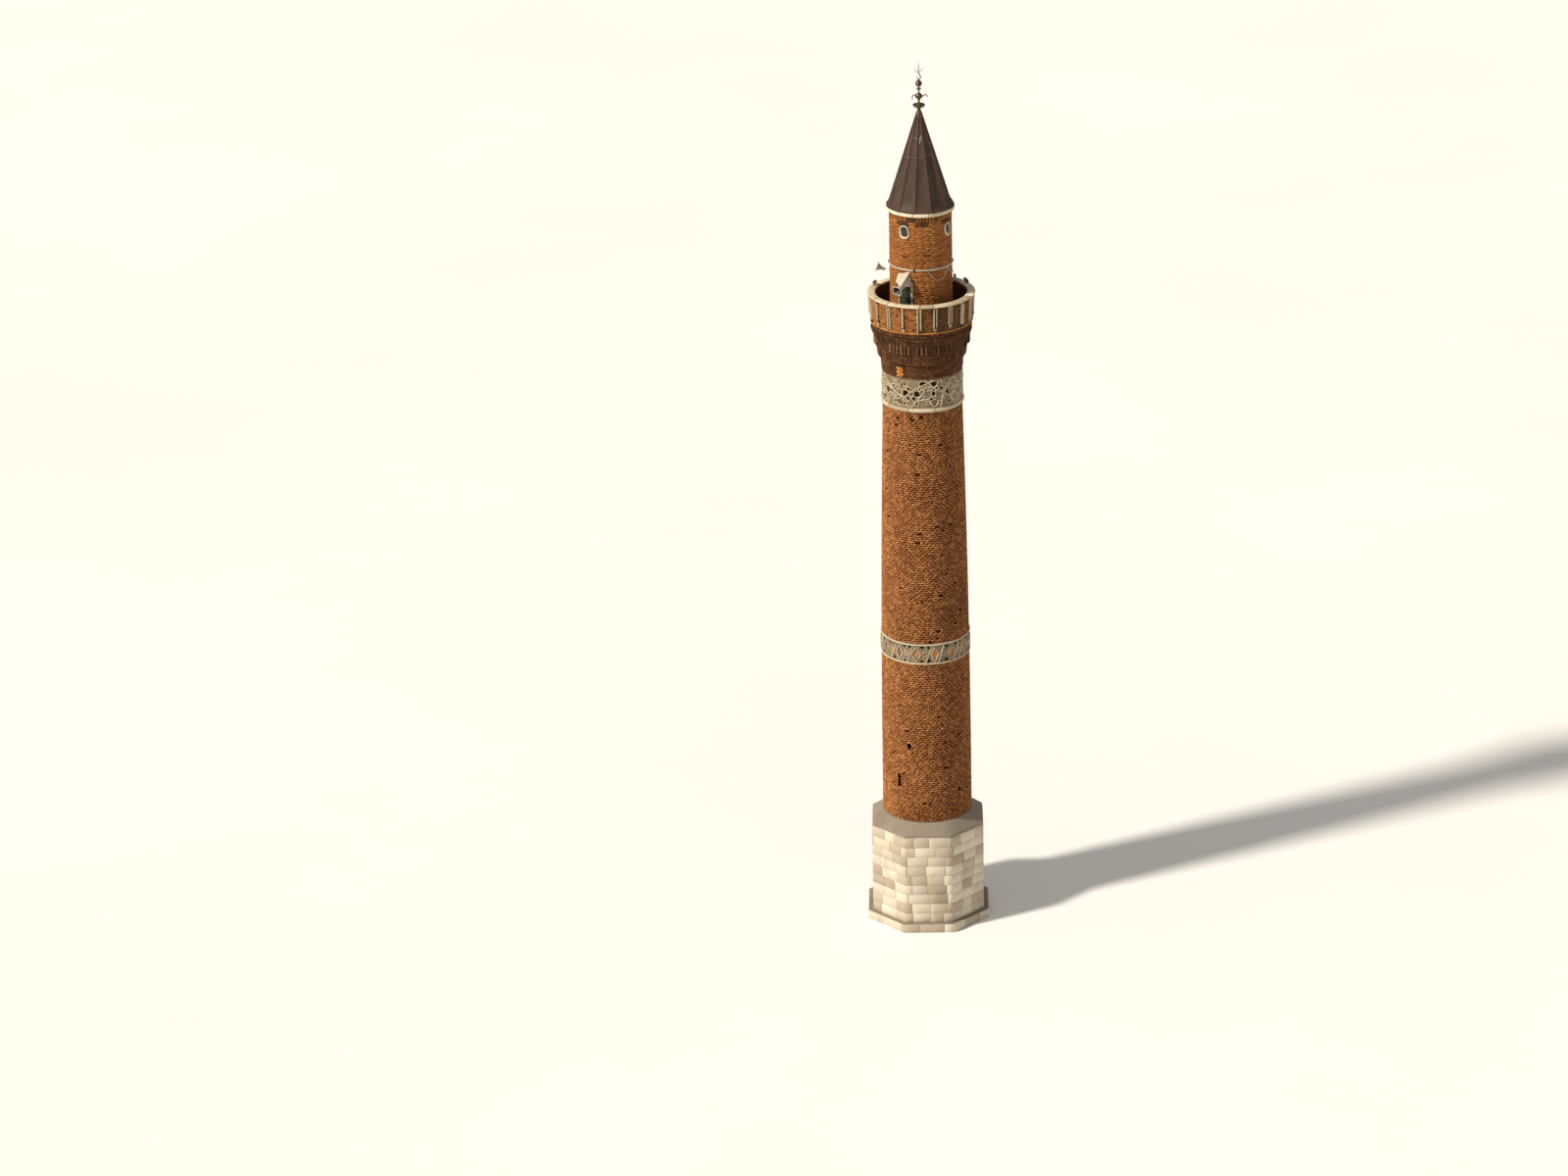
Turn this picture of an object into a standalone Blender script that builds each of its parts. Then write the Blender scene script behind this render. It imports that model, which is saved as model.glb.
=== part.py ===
"""A single-balcony brick minaret, 35 m tall, built piece by piece in metres with +Z up.

The origin is the centre of the flat underside of the foundation plinth. A bearing is an angle in
degrees about the tower's axis: 0 faces -Y and 90 faces +X. The balcony door is on the -Y side, a
little to the left, and the doorway at the foot of the tower is on the far side, +Y.
"""

from math import atan2, cos, degrees, pi, radians, sin, sqrt

import bmesh
import bpy
from mathutils import Matrix, Vector

# Whole tower: the joint between neighbouring pieces, and how finely round pieces are faceted
GAP = 0.0003
TOTAL_HEIGHT = 35.0
SIDES = 48
STAIR_RADIUS = 0.95
SHARP_FROM_DEGREES = 25

# Octagonal foot of cut stone
PLINTH_FLATS = 4.80
PLINTH_TOP = 0.35
PLINTH_BEVEL = 0.03
BASE_FLATS = 4.40
BASE_TOP = 4.00
COLLAR_TOP = 4.50
COLLAR_RADIUS = 1.80
COLLAR_LIP = 0.12
DOORWAY_WIDTH = 0.86
DOORWAY_SPRING = 2.15
DOORWAY_CROWN = 2.72
DOORWAY_BEARING = 180.0
LINTEL_INNER_REACH = 0.6

# Round brick shaft, which leans in a little more the higher it goes
SHAFT_FOOT_RADIUS = 1.76
SHAFT_DRAW_IN = 0.22
SHAFT_DRAW_HEIGHT = 17.0
LOWER_BAND_FOOT = 11.23
LOWER_BAND_TOP = 12.07
UPPER_BAND_FOOT = 21.56
UPPER_BAND_TOP = 22.90
BAND_LIP = 0.018
BAND_LIP_HEIGHT = 0.07
RING_RADIUS = 1.615
RING_HEIGHT = 0.17
RING_STEPS = 6
UPPER_BAND_RADIUS = 1.53

# Slits that light the stair: bearing, height of the middle, width, height
SLITS = {
    "low_front": (-39.0, 6.16, 0.12, 0.50),
    "square_front": (-23.6, 7.70, 0.14, 0.20),
    "low_back": (141.0, 9.30, 0.12, 0.50),
    "middle_back": (172.0, 14.60, 0.12, 0.50),
    "high_back": (207.0, 19.20, 0.12, 0.50),
}
SLIT_CUT_FROM = 0.7
SLIT_CUT_TO = 2.0

# Corbelling under the balcony: foot, top, radius at foot, radius at top, lip radius
CORBEL_TIERS = {
    "corbel_lower_tier": (22.90, 23.50, 1.555, 1.600, 1.625),
    "corbel_middle_tier": (23.50, 23.95, 1.700, 1.750, 1.775),
    "corbel_upper_tier": (23.95, 24.66, 1.790, 1.945, 1.985),
}
CORBEL_LIP_HEIGHT = 0.05
CORBEL_FLARE = 1.7
CORBEL_STEPS = 4

# Balcony
DECK_TOP = 24.90
PARAPET_FOOT = 24.66
PARAPET_TOP = 25.90
PARAPET_INNER = 1.74
PANEL_FOOT_RADIUS = 1.925
PANEL_TOP_RADIUS = 1.985
PILASTER_COUNT = 20
PILASTER_BEARING = -2.7
PILASTER_WIDTH = 0.19
PILASTER_PROUD = 0.075
PILASTER_EDGE_BEARING = 0.1
PILASTER_FOOT_CLEAR = 0.06
PILASTER_TOP_CLEAR = 0.02
COPING_TOP = 25.98
COPING_INNER = 1.76
COPING_OUTER = 2.08
COPING_ROUND = 0.02

# Drum above the balcony
DRUM_OUTER = 1.20
DRUM_INNER = 0.85
DRUM_TOP = 29.25
DOOR_BEARING = -31.0
DOOR_OPENING_WIDTH = 0.64
DOOR_OPENING_HEIGHT = 1.78
DOOR_POST = 0.07
DOOR_FRAME_DEPTH = 0.16
DOOR_FRAME_PROUD = 0.02
DOOR_LEAF_THICK = 0.045
DOOR_LEAF_SET_BACK = 0.05
DRUM_CUT_FROM = 0.6
DRUM_CUT_TO = 1.5
DECK_OVERCUT = 0.1
DRUM_SIDES = ("door_side", "right", "back", "left")
OCULUS_HEIGHT = 28.62
OCULUS_POINTS = 24
OCULUS_HALF_WIDTH = 0.20
OCULUS_HALF_HEIGHT = 0.26
OCULUS_RIM = 0.055
OCULUS_PROUD = 0.025
OCULUS_DEPTH = 0.12
OCULUS_PANE_DEPTH = 0.02
STRAP_HEIGHT = 27.15
STRAP_WIDTH = 0.05
STRAP_THICK = 0.03
CORNICE_TOP = 29.40
CORNICE_OUTER = 1.31
CORNICE_FOOT_INSET = 0.02
CORNICE_TOP_INSET = 0.04

# Roof of sheet metal
CONE_SIDES = 12
CONE_SEAM_BEARING = -9.5
CONE_FOOT_RADIUS = 1.255
CONE_SHELL = 0.07
CONE_KNEE_HEIGHT = 29.62
CONE_KNEE_RADIUS = 1.145
CONE_TOP = 32.86
CONE_TOP_RADIUS = 0.12

# Finial of bronze: heights of the joints between its pieces, then each piece's own sizes
FINIAL_SIDES = 24
DISH_TOP = 33.50
FLOWER_TOP = 33.95
UPPER_BALL_TOP = 34.545
SOCKET_RADIUS = 0.155
DISH_HEIGHT = 33.25
DISH_RADIUS = 0.235
DISH_RIM_RISE = 0.06
NECK_FLARE = 0.09
STEM_RADIUS = 0.045
PEAR_HEIGHT = 33.62
PEAR_RADIUS = 0.135
CUP_HEIGHT = 33.91
CUP_RADIUS = 0.085
BALL_HEIGHT = 34.115
BALL_RADIUS = 0.127
ROD_RADIUS = 0.02
ARM_RADIUS = 0.024
ARM_TIP_SHARE = 0.7
LEFT_ARM = ((-0.05, 33.62), (-0.14, 33.67), (-0.21, 33.65), (-0.25, 33.57), (-0.235, 33.50))
RIGHT_ARM = ((0.05, 33.61), (0.15, 33.62), (0.22, 33.68), (0.29, 33.66), (0.315, 33.58))
KNOT = ((0.0, 34.20), (0.02, 34.27), (0.072, 34.35), (0.05, 34.43), (0.0, 34.49), (0.0, UPPER_BALL_TOP))
KNOT_LEAF = ((0.01, 34.26), (-0.04, 34.29), (-0.075, 34.37))
CRESCENT_RADIUS = 0.145
CRESCENT_LIFT = 0.045
CRESCENT_REACH = 97.0
CRESCENT_THICK = 0.024
SPIKE_FOOT_RADIUS = 0.016
SPIKE_TIP_RADIUS = 0.002

# Hood over the balcony door, and the loudspeakers
# The hood's corners, seen from outside: across to the right, outward from the axis, and height
HOOD_RIDGE = ((0.20, 1.18, 27.08), (0.11, 1.695, 26.65))
HOOD_LEFT_EAVE = ((-0.31, 1.16, 26.93), (-0.20, 1.52, 26.71))
HOOD_RIGHT_EAVE = ((0.28, 1.165, 26.88), (0.38, 1.45, 26.62))
HOOD_SHEET = 0.02
HOOD_ROOT_DEPTH = 0.15
SPEAKER_LENGTH = 0.34
SPEAKER_MOUTH = 0.17
SPEAKER_THROAT = 0.055
SPEAKER_RIM = 0.02
SPEAKER_ARM = 0.02
SPEAKER_POINTS = 16

# Each loudspeaker: where its mouth is (bearing, reach from the drum, height), where it looks
# (bearing, tilt), and the bearing on the drum that its arm comes from, and how far above the
# throat the arm starts
SPEAKERS = {
    "loudspeaker_front": ((-34.5, 0.42, 26.39), (-37.0, -18.0), (-29.0, 0.40)),
    "loudspeaker_back": ((-100.0, 0.50, 26.85), (-95.0, 20.0), (-100.0, 0.0)),
}

# Each floodlight on the coping: bearing, tilt, width, depth and height of its box
FLOODLIGHTS = {
    "floodlight_right": (115.0, 35.0, 0.24, 0.09, 0.16),
    "floodlight_left": (-111.0, 45.0, 0.15, 0.12, 0.13),
    "floodlight_back": (137.0, 10.0, 0.08, 0.07, 0.12),
}
FLOODLIGHT_RADIUS = 1.90
FLOODLIGHT_LIFT = 0.12
FLOODLIGHT_FOOT = 0.05

# Colour, roughness and metallic value of each finish
FINISHES = {
    "cut_stone": ((0.47, 0.43, 0.36), 0.85, 0.0),
    "orange_brick": ((0.48, 0.20, 0.09), 0.9, 0.0),
    "dark_brick": ((0.20, 0.09, 0.05), 0.9, 0.0),
    "pale_stone": ((0.62, 0.56, 0.46), 0.8, 0.0),
    "roof_sheet": ((0.10, 0.06, 0.045), 0.5, 0.6),
    "dark_bronze": ((0.12, 0.08, 0.05), 0.4, 0.9),
    "grey_sheet": ((0.50, 0.46, 0.40), 0.5, 0.4),
    "green_paint": ((0.03, 0.05, 0.04), 0.4, 0.0),
    "grey_plastic": ((0.50, 0.47, 0.42), 0.6, 0.0),
    "black_plastic": ((0.03, 0.03, 0.03), 0.5, 0.0),
}

QUADRANTS = {"front": 0.0, "right": 90.0, "back": 180.0, "left": 270.0}


def clear_scene():
    for obj in list(bpy.data.objects):
        bpy.data.objects.remove(obj, do_unlink=True)


def finish_material(name):
    """The material of this finish, made on first use."""
    if name in bpy.data.materials:
        return bpy.data.materials[name]
    colour, roughness, metallic = FINISHES[name]
    material = bpy.data.materials.new(name)
    material.use_nodes = True
    shader = material.node_tree.nodes["Principled BSDF"]
    shader.inputs["Base Color"].default_value = (*colour, 1.0)
    shader.inputs["Roughness"].default_value = roughness
    shader.inputs["Metallic"].default_value = metallic
    material.diffuse_color = (*colour, 1.0)
    return material


def place(name, bm, finish):
    """Turns a bmesh into a named object, shaded smooth except at its real edges."""
    bmesh.ops.recalc_face_normals(bm, faces=bm.faces)
    mesh = bpy.data.meshes.new(name)
    bm.to_mesh(mesh)
    bm.free()
    mesh.shade_smooth()
    mesh.set_sharp_from_angle(angle=radians(SHARP_FROM_DEGREES))
    if finish:
        mesh.materials.append(finish_material(finish))
    piece = bpy.data.objects.new(name, mesh)
    bpy.context.scene.collection.objects.link(piece)
    return piece


def make_cutter(name, bm):
    """A helper solid that only cuts others."""
    cutter = place(name, bm, None)
    cutter.hide_render = True
    cutter.display_type = "WIRE"
    return cutter


def cut(piece, cutter):
    boolean = piece.modifiers.new("cut_" + cutter.name, "BOOLEAN")
    boolean.operation = "DIFFERENCE"
    boolean.object = cutter


def weld(piece, name, bm):
    """Adds another closed shape to a piece, as one solid."""
    boolean = piece.modifiers.new(name, "BOOLEAN")
    boolean.operation = "UNION"
    boolean.object = make_cutter(name, bm)


def on_bearing(radius, bearing, height):
    """The point at this radius and height on a bearing."""
    angle = radians(bearing)
    return Vector((radius * sin(angle), -radius * cos(angle), height))


def outward_frame(bearing, radius=0.0, height=0.0):
    """A matrix whose local X runs along the wall to the right, Y outward and Z up."""
    angle = radians(bearing)
    along = Vector((cos(angle), sin(angle), 0.0))
    outward = Vector((sin(angle), -cos(angle), 0.0))
    turn = Matrix((along, outward, Vector((0, 0, 1)))).transposed().to_4x4()
    return Matrix.Translation(outward * radius + Vector((0, 0, height))) @ turn


def bearings_between(first, last, steps):
    return [first + (last - first) * step / steps for step in range(steps + 1)]


def sweep(name, finish, section, bearings, whole=False):
    """Carries a closed section of (radius, height) points round the axis through these bearings."""
    bm = bmesh.new()
    loops = []
    for bearing in bearings:
        loops.append([bm.verts.new(on_bearing(r, bearing, z)) for r, z in section(bearing)])
    following = loops[1:] + loops[:1] if whole else loops[1:]
    for here, there in zip(loops, following):
        for low in range(len(here)):
            high = (low + 1) % len(here)
            bm.faces.new((here[low], here[high], there[high], there[low]))
    if not whole:
        bm.faces.new(loops[0])
        bm.faces.new(loops[-1])
    return place(name, bm, finish)


def ring(name, finish, profile, inner, first_bearing=0.0, sides=SIDES):
    """A whole ring: its outer profile runs upward, and its bore is straight."""
    section = [(inner, profile[0][1])] + profile + [(inner, profile[-1][1])]
    bearings = [first_bearing + 360.0 * step / sides for step in range(sides)]
    return sweep(name, finish, lambda bearing: section, bearings, whole=True)


def quadrant(name, finish, profile, inner, middle, sides=SIDES):
    """A quarter of such a ring, standing a joint's gap clear of its neighbours."""
    section = [(inner, profile[0][1])] + profile + [(inner, profile[-1][1])]
    trim = degrees(GAP / 2 / inner)
    bearings = bearings_between(middle - 45 + trim, middle + 45 - trim, sides // 4)
    return sweep(name, finish, lambda bearing: section, bearings)


def turned(name, finish, profile, sides=SIDES):
    """A solid turned about the axis, closed flat at the foot and the top of its outer profile."""
    bm = bmesh.new()
    foot = bm.verts.new((0, 0, profile[0][1]))
    tip = bm.verts.new((0, 0, profile[-1][1]))
    rings = []
    for radius, height in profile:
        bearings = (360.0 * step / sides for step in range(sides))
        rings.append([bm.verts.new(on_bearing(radius, bearing, height)) for bearing in bearings])
    for here in range(sides):
        there = (here + 1) % sides
        bm.faces.new((foot, rings[0][there], rings[0][here]))
        bm.faces.new((tip, rings[-1][here], rings[-1][there]))
        for below, above in zip(rings, rings[1:]):
            bm.faces.new((below[here], below[there], above[there], above[here]))
    return place(name, bm, finish)


def loft(loops):
    """A closed bmesh skinned over these loops of points, with a flat face at each end."""
    bm = bmesh.new()
    loops = [[bm.verts.new(point) for point in loop] for loop in loops]
    count = len(loops[0])
    for near, far in zip(loops, loops[1:]):
        for here in range(count):
            there = (here + 1) % count
            bm.faces.new((near[here], near[there], far[there], far[here]))
    bm.faces.new(loops[0])
    bm.faces.new(loops[-1])
    return bm


def upright_prism(outline, foot, top):
    """A bmesh that stands on a plan outline of (x, y) points."""
    return loft([[(x, y, height) for x, y in outline] for height in (foot, top)])


def radial_prism(outline, near, far, bearing, height):
    """A bmesh that carries an upright (x, z) outline outward along a bearing, from near to far."""
    bm = loft([[(x, depth, z) for x, z in outline] for depth in (near, far)])
    bm.transform(outward_frame(bearing, 0.0, height))
    return bm


def circle(radius, first_bearing=0.0, sides=SIDES):
    """The plan of a round piece, as (x, y) points."""
    bearings = (first_bearing + 360.0 * step / sides for step in range(sides))
    return [on_bearing(radius, bearing, 0).xy for bearing in bearings]


def rod(foot, top, foot_radius, top_radius, sides=8):
    """A bmesh of a straight round rod from one point to another."""
    length = (top - foot).length
    loops = [
        [(x, y, along) for x, y in circle(radius, sides=sides)]
        for radius, along in ((foot_radius, 0.0), (top_radius, length))
    ]
    bm = loft(loops)
    turn = (top - foot).to_track_quat("Z", "Y").to_matrix().to_4x4()
    bm.transform(Matrix.Translation(foot) @ turn)
    return bm


def smooth_line(points, steps):
    """More points on a smooth line through these ones."""
    ends = [points[0], *points, points[-1]]
    line = []
    for before, start, end, after in zip(ends, ends[1:], ends[2:], ends[3:]):
        for step in range(steps):
            t = step / steps
            weights = (
                (-t + 2 * t**2 - t**3) / 2,
                (2 - 5 * t**2 + 3 * t**3) / 2,
                (t + 4 * t**2 - 3 * t**3) / 2,
                (t**3 - t**2) / 2,
            )
            knots = (before, start, end, after)
            line.append(tuple(sum(w * p[k] for w, p in zip(weights, knots)) for k in (0, 1)))
    return [*line, tuple(points[-1])]


def bent_rod(path, radius, tip_share=1.0, sides=8):
    """A bmesh of a round rod bent along (x, z) points, thinner toward its tip."""
    line = [Vector((x, 0.0, z)) for x, z in smooth_line(path, 3)]
    depthwise = Vector((0, 1, 0))
    loops = []
    for step, point in enumerate(line):
        before, after = line[max(step - 1, 0)], line[min(step + 1, len(line) - 1)]
        across = (after - before).normalized().cross(depthwise)
        half = radius * (1 + (tip_share - 1) * step / (len(line) - 1))
        turns = (2 * pi * k / sides for k in range(sides))
        loops.append([point + half * (cos(turn) * across + sin(turn) * depthwise) for turn in turns])
    return loft(loops)


def rectangle(width, low, high):
    return [(-width / 2, low), (width / 2, low), (width / 2, high), (-width / 2, high)]


def ellipse(half_width, half_height, points):
    turns = (2 * pi * step / points for step in range(points))
    return [(half_width * cos(turn), half_height * sin(turn)) for turn in turns]


def shaft_radius(height):
    above = max(height - COLLAR_TOP, 0.0) / SHAFT_DRAW_HEIGHT
    return SHAFT_FOOT_RADIUS - SHAFT_DRAW_IN * above**2


def octagon_radius(flats, bearing):
    """The distance from the axis to an octagon's face on this bearing."""
    off_face = (bearing + 22.5) % 45 - 22.5
    return flats / 2 / cos(radians(off_face))


def octagon_corner(flats, bearing):
    return on_bearing(flats / 2 / cos(radians(22.5)), bearing, 0).xy


def make_plinth():
    outline = [octagon_corner(PLINTH_FLATS, 22.5 + 45 * k) for k in range(8)]
    plinth = place("foundation_plinth", upright_prism(outline, 0.0, PLINTH_TOP), "cut_stone")
    bevel = plinth.modifiers.new("edge", "BEVEL")
    bevel.width = PLINTH_BEVEL
    bevel.segments = 1
    bevel.limit_method = "ANGLE"
    bevel.angle_limit = radians(60)


def base_quarter(middle):
    """The plan of a base wall: a quarter of the octagon outside, the round stairwell inside."""
    trim = degrees(GAP / 2 / STAIR_RADIUS)
    last = 45 - trim
    faces = []
    for off in (-last, -22.5, 22.5, last):
        faces.append(on_bearing(octagon_radius(BASE_FLATS, middle + off), middle + off, 0).xy)
    arc = bearings_between(last, -last, SIDES // 4)
    return faces + [on_bearing(STAIR_RADIUS, middle + off, 0).xy for off in arc]


def pointed_arch(width, spring, crown, points=6):
    """The outline of an opening with a pointed arch, from its right foot over to its left."""
    rise = crown - spring
    half = width / 2
    radius = (half**2 + rise**2) / width
    full_turn = atan2(rise, radius - half)
    turns = [full_turn * step / points for step in range(points + 1)]
    right = [(half - radius + radius * cos(turn), spring + radius * sin(turn)) for turn in turns]
    left = [(-x, z) for x, z in reversed(right[:-1])]
    return right + left


def make_base_jamb(name, sign):
    """The wall between the doorway and the next quarter, on one side of the doorway."""
    half = DOORWAY_WIDTH / 2
    inner_bearing = degrees(atan2(half, sqrt(STAIR_RADIUS**2 - half**2)))
    last = 45 - degrees(GAP / 2 / STAIR_RADIUS)

    def mirrored(bearing):
        return DOORWAY_BEARING - sign * bearing

    outer_end = on_bearing(octagon_radius(BASE_FLATS, last), mirrored(last), 0).xy
    arc = bearings_between(last, inner_bearing, 6)
    bore = [on_bearing(STAIR_RADIUS, mirrored(bearing), 0).xy for bearing in arc]
    corner = octagon_corner(BASE_FLATS, mirrored(22.5))
    outline = [(sign * half, BASE_FLATS / 2), corner, outer_end, *bore]
    place(name, upright_prism(outline, PLINTH_TOP + GAP, BASE_TOP), "cut_stone")


def make_base():
    for side in ("front", "right", "left"):
        wall = upright_prism(base_quarter(QUADRANTS[side]), PLINTH_TOP + GAP, BASE_TOP)
        place("base_wall_" + side, wall, "cut_stone")
    make_base_jamb("base_jamb_left", 1)
    make_base_jamb("base_jamb_right", -1)
    half = DOORWAY_WIDTH / 2 - GAP
    arch_line = pointed_arch(2 * half, DOORWAY_SPRING, DOORWAY_CROWN)
    block = [(-half, BASE_TOP), (half, BASE_TOP), *arch_line]
    arch = radial_prism(block, LINTEL_INNER_REACH, BASE_FLATS / 2, DOORWAY_BEARING, 0.0)
    stairwell = upright_prism(circle(STAIR_RADIUS), PLINTH_TOP, COLLAR_TOP)
    cut(place("base_door_arch", arch, "cut_stone"), make_cutter("stairwell_bore", stairwell))


def make_collar():
    """The course that turns the octagon into the round shaft."""

    def section(bearing):
        flat = octagon_radius(BASE_FLATS, bearing)
        return [
            (STAIR_RADIUS, BASE_TOP + GAP),
            (flat, BASE_TOP + GAP),
            (flat, BASE_TOP + COLLAR_LIP),
            (COLLAR_RADIUS, COLLAR_TOP),
            (STAIR_RADIUS, COLLAR_TOP),
        ]

    bearings = [360.0 * step / SIDES for step in range(SIDES)]
    sweep("octagon_to_round_collar", "cut_stone", section, bearings, whole=True)


def make_shaft_stage(prefix, foot, top, levels=4):
    heights = [foot + (top - foot) * step / levels for step in range(levels + 1)]
    profile = [(shaft_radius(z), z) for z in heights]
    walls = {}
    for side, middle in QUADRANTS.items():
        walls[side] = quadrant(f"{prefix}_{side}", "orange_brick", profile, STAIR_RADIUS, middle)
    return walls


def nearest_side(bearing):
    """The quarter of the tower that this bearing falls in."""
    return min(QUADRANTS, key=lambda side: abs((bearing - QUADRANTS[side] + 180) % 360 - 180))


def make_shaft():
    lower = make_shaft_stage("lower_shaft", COLLAR_TOP + GAP, LOWER_BAND_FOOT)
    upper = make_shaft_stage("upper_shaft", LOWER_BAND_TOP + GAP, UPPER_BAND_FOOT)
    for slit, (bearing, height, width, tall) in SLITS.items():
        outline = rectangle(width, -tall / 2, tall / 2)
        hole = radial_prism(outline, SLIT_CUT_FROM, SLIT_CUT_TO, bearing, height)
        walls = lower if height < LOWER_BAND_FOOT else upper
        cut(walls[nearest_side(bearing)], make_cutter("slit_" + slit, hole))


def make_bands():
    radius = shaft_radius(LOWER_BAND_FOOT)
    foot, top = LOWER_BAND_FOOT + GAP, LOWER_BAND_TOP
    lower = [
        (radius + BAND_LIP, foot),
        (radius + BAND_LIP, foot + BAND_LIP_HEIGHT),
        (radius, foot + BAND_LIP_HEIGHT),
        (radius, top - BAND_LIP_HEIGHT),
        (radius + BAND_LIP, top - BAND_LIP_HEIGHT),
        (radius + BAND_LIP, top),
    ]
    ring("lower_inscription_band", "pale_stone", lower, STAIR_RADIUS)
    foot, top = UPPER_BAND_FOOT + GAP, UPPER_BAND_FOOT + RING_HEIGHT
    bulge = RING_RADIUS - UPPER_BAND_RADIUS
    moulding = []
    for step in range(RING_STEPS + 1):
        turn = pi * step / RING_STEPS
        height = (foot + top) / 2 - (top - foot) / 2 * cos(turn)
        moulding.append((UPPER_BAND_RADIUS + bulge * sin(turn), height))
    ring("band_ring_moulding", "pale_stone", moulding, STAIR_RADIUS)
    upper = [(UPPER_BAND_RADIUS, top + GAP), (UPPER_BAND_RADIUS, UPPER_BAND_TOP)]
    ring("upper_lattice_band", "pale_stone", upper, STAIR_RADIUS)


def make_corbelling():
    for name, (foot, top, foot_radius, top_radius, lip) in CORBEL_TIERS.items():
        lip_foot = top - CORBEL_LIP_HEIGHT
        profile = []
        for step in range(CORBEL_STEPS + 1):
            share = step / CORBEL_STEPS
            height = foot + GAP + (lip_foot - foot - GAP) * share
            radius = foot_radius + (top_radius - foot_radius) * share**CORBEL_FLARE
            profile.append((radius, height))
        profile += [(lip, lip_foot), (lip, top)]
        ring(name, "dark_brick", profile, STAIR_RADIUS)


def make_deck():
    foot = CORBEL_TIERS["corbel_upper_tier"][1] + GAP
    edge = PARAPET_INNER * cos(radians(90 / PILASTER_COUNT)) - GAP
    turned("balcony_deck", "cut_stone", [(edge, foot), (edge, DECK_TOP)])


def panel_radius(height):
    share = (height - PARAPET_FOOT) / (PARAPET_TOP - PARAPET_FOOT)
    return PANEL_FOOT_RADIUS + (PANEL_TOP_RADIUS - PANEL_FOOT_RADIUS) * share


def parapet_section(proud):
    """The parapet cut through a panel, or through a pilaster that stands this much proud."""
    foot, top = PARAPET_FOOT + GAP, PARAPET_TOP
    rib_foot, rib_top = foot + PILASTER_FOOT_CLEAR, top - PILASTER_TOP_CLEAR
    return [
        (PARAPET_INNER, foot),
        (panel_radius(foot), foot),
        (panel_radius(rib_foot), rib_foot),
        (panel_radius(rib_foot) + proud, rib_foot + GAP),
        (panel_radius(rib_top) + proud, rib_top - GAP),
        (panel_radius(rib_top), rib_top),
        (panel_radius(top), top),
        (PARAPET_INNER, top),
    ]


def make_parapet():
    """Four lengths of five bays each; a bay is a brick panel with a pilaster in its middle."""
    bay = 360.0 / PILASTER_COUNT
    half_pilaster = degrees(PILASTER_WIDTH / 2 / PANEL_TOP_RADIUS)
    half_length = 2.5 * bay - degrees(GAP / 2 / PARAPET_INNER)
    flush, proud = parapet_section(0.0), parapet_section(PILASTER_PROUD)
    middles = {"front_left": -2, "front_right": 3, "back_right": 8, "back_left": 13}
    for side, middle_pilaster in middles.items():
        middle = PILASTER_BEARING + bay * middle_pilaster
        stations = {middle - half_length: flush, middle + half_length: flush}
        for k in range(-2, 3):
            pilaster = middle + k * bay
            for hand in (-1, 1):
                stations[pilaster + hand * half_pilaster] = proud
                stations[pilaster + hand * (half_pilaster + PILASTER_EDGE_BEARING)] = flush
            if k < 2:
                stations[pilaster + bay / 2] = flush
        sweep("parapet_" + side, "orange_brick", stations.__getitem__, sorted(stations))


def make_coping():
    foot = PARAPET_TOP + GAP
    profile = [
        (COPING_OUTER - COPING_ROUND, foot),
        (COPING_OUTER, foot + COPING_ROUND),
        (COPING_OUTER, COPING_TOP - COPING_ROUND),
        (COPING_OUTER - COPING_ROUND, COPING_TOP),
    ]
    ring("parapet_coping", "pale_stone", profile, COPING_INNER)


def make_drum():
    profile = [(DRUM_OUTER, DECK_TOP + GAP), (DRUM_OUTER, DRUM_TOP)]
    hole = ellipse(OCULUS_HALF_WIDTH, OCULUS_HALF_HEIGHT, OCULUS_POINTS)
    walls = {}
    for k, side in enumerate(DRUM_SIDES):
        bearing = DOOR_BEARING + 90 * k
        walls[side] = quadrant("drum_wall_" + side, "orange_brick", profile, DRUM_INNER, bearing)
        window = radial_prism(hole, DRUM_CUT_FROM, DRUM_CUT_TO, bearing, OCULUS_HEIGHT)
        cut(walls[side], make_cutter("oculus_hole_" + side, window))
    # The cut reaches a little below the wall, so that the doorway opens onto the deck.
    outline = rectangle(DOOR_OPENING_WIDTH, -DECK_OVERCUT, DOOR_OPENING_HEIGHT)
    doorway = radial_prism(outline, DRUM_CUT_FROM, DRUM_CUT_TO, DOOR_BEARING, DECK_TOP)
    cut(walls["door_side"], make_cutter("door_opening", doorway))


def make_oculi():
    """Each round window is a pale rim that carries its pane."""
    half_width, half_height = OCULUS_HALF_WIDTH - GAP, OCULUS_HALF_HEIGHT - GAP
    rim_outside = ellipse(half_width, half_height, OCULUS_POINTS)
    rim_inside = ellipse(half_width - OCULUS_RIM, half_height - OCULUS_RIM, OCULUS_POINTS)
    face = DRUM_OUTER + OCULUS_PROUD
    pane = DRUM_OUTER - OCULUS_DEPTH / 2 + OCULUS_PANE_DEPTH / 2
    levels = (
        (rim_outside, face - OCULUS_DEPTH),
        (rim_outside, face),
        (rim_inside, face),
        (rim_inside, pane),
    )
    for k, side in enumerate(DRUM_SIDES):
        bm = loft([[(x, depth, z) for x, z in outline] for outline, depth in levels])
        bm.transform(outward_frame(DOOR_BEARING + 90 * k, 0.0, OCULUS_HEIGHT))
        place("oculus_" + side, bm, "pale_stone")


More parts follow.
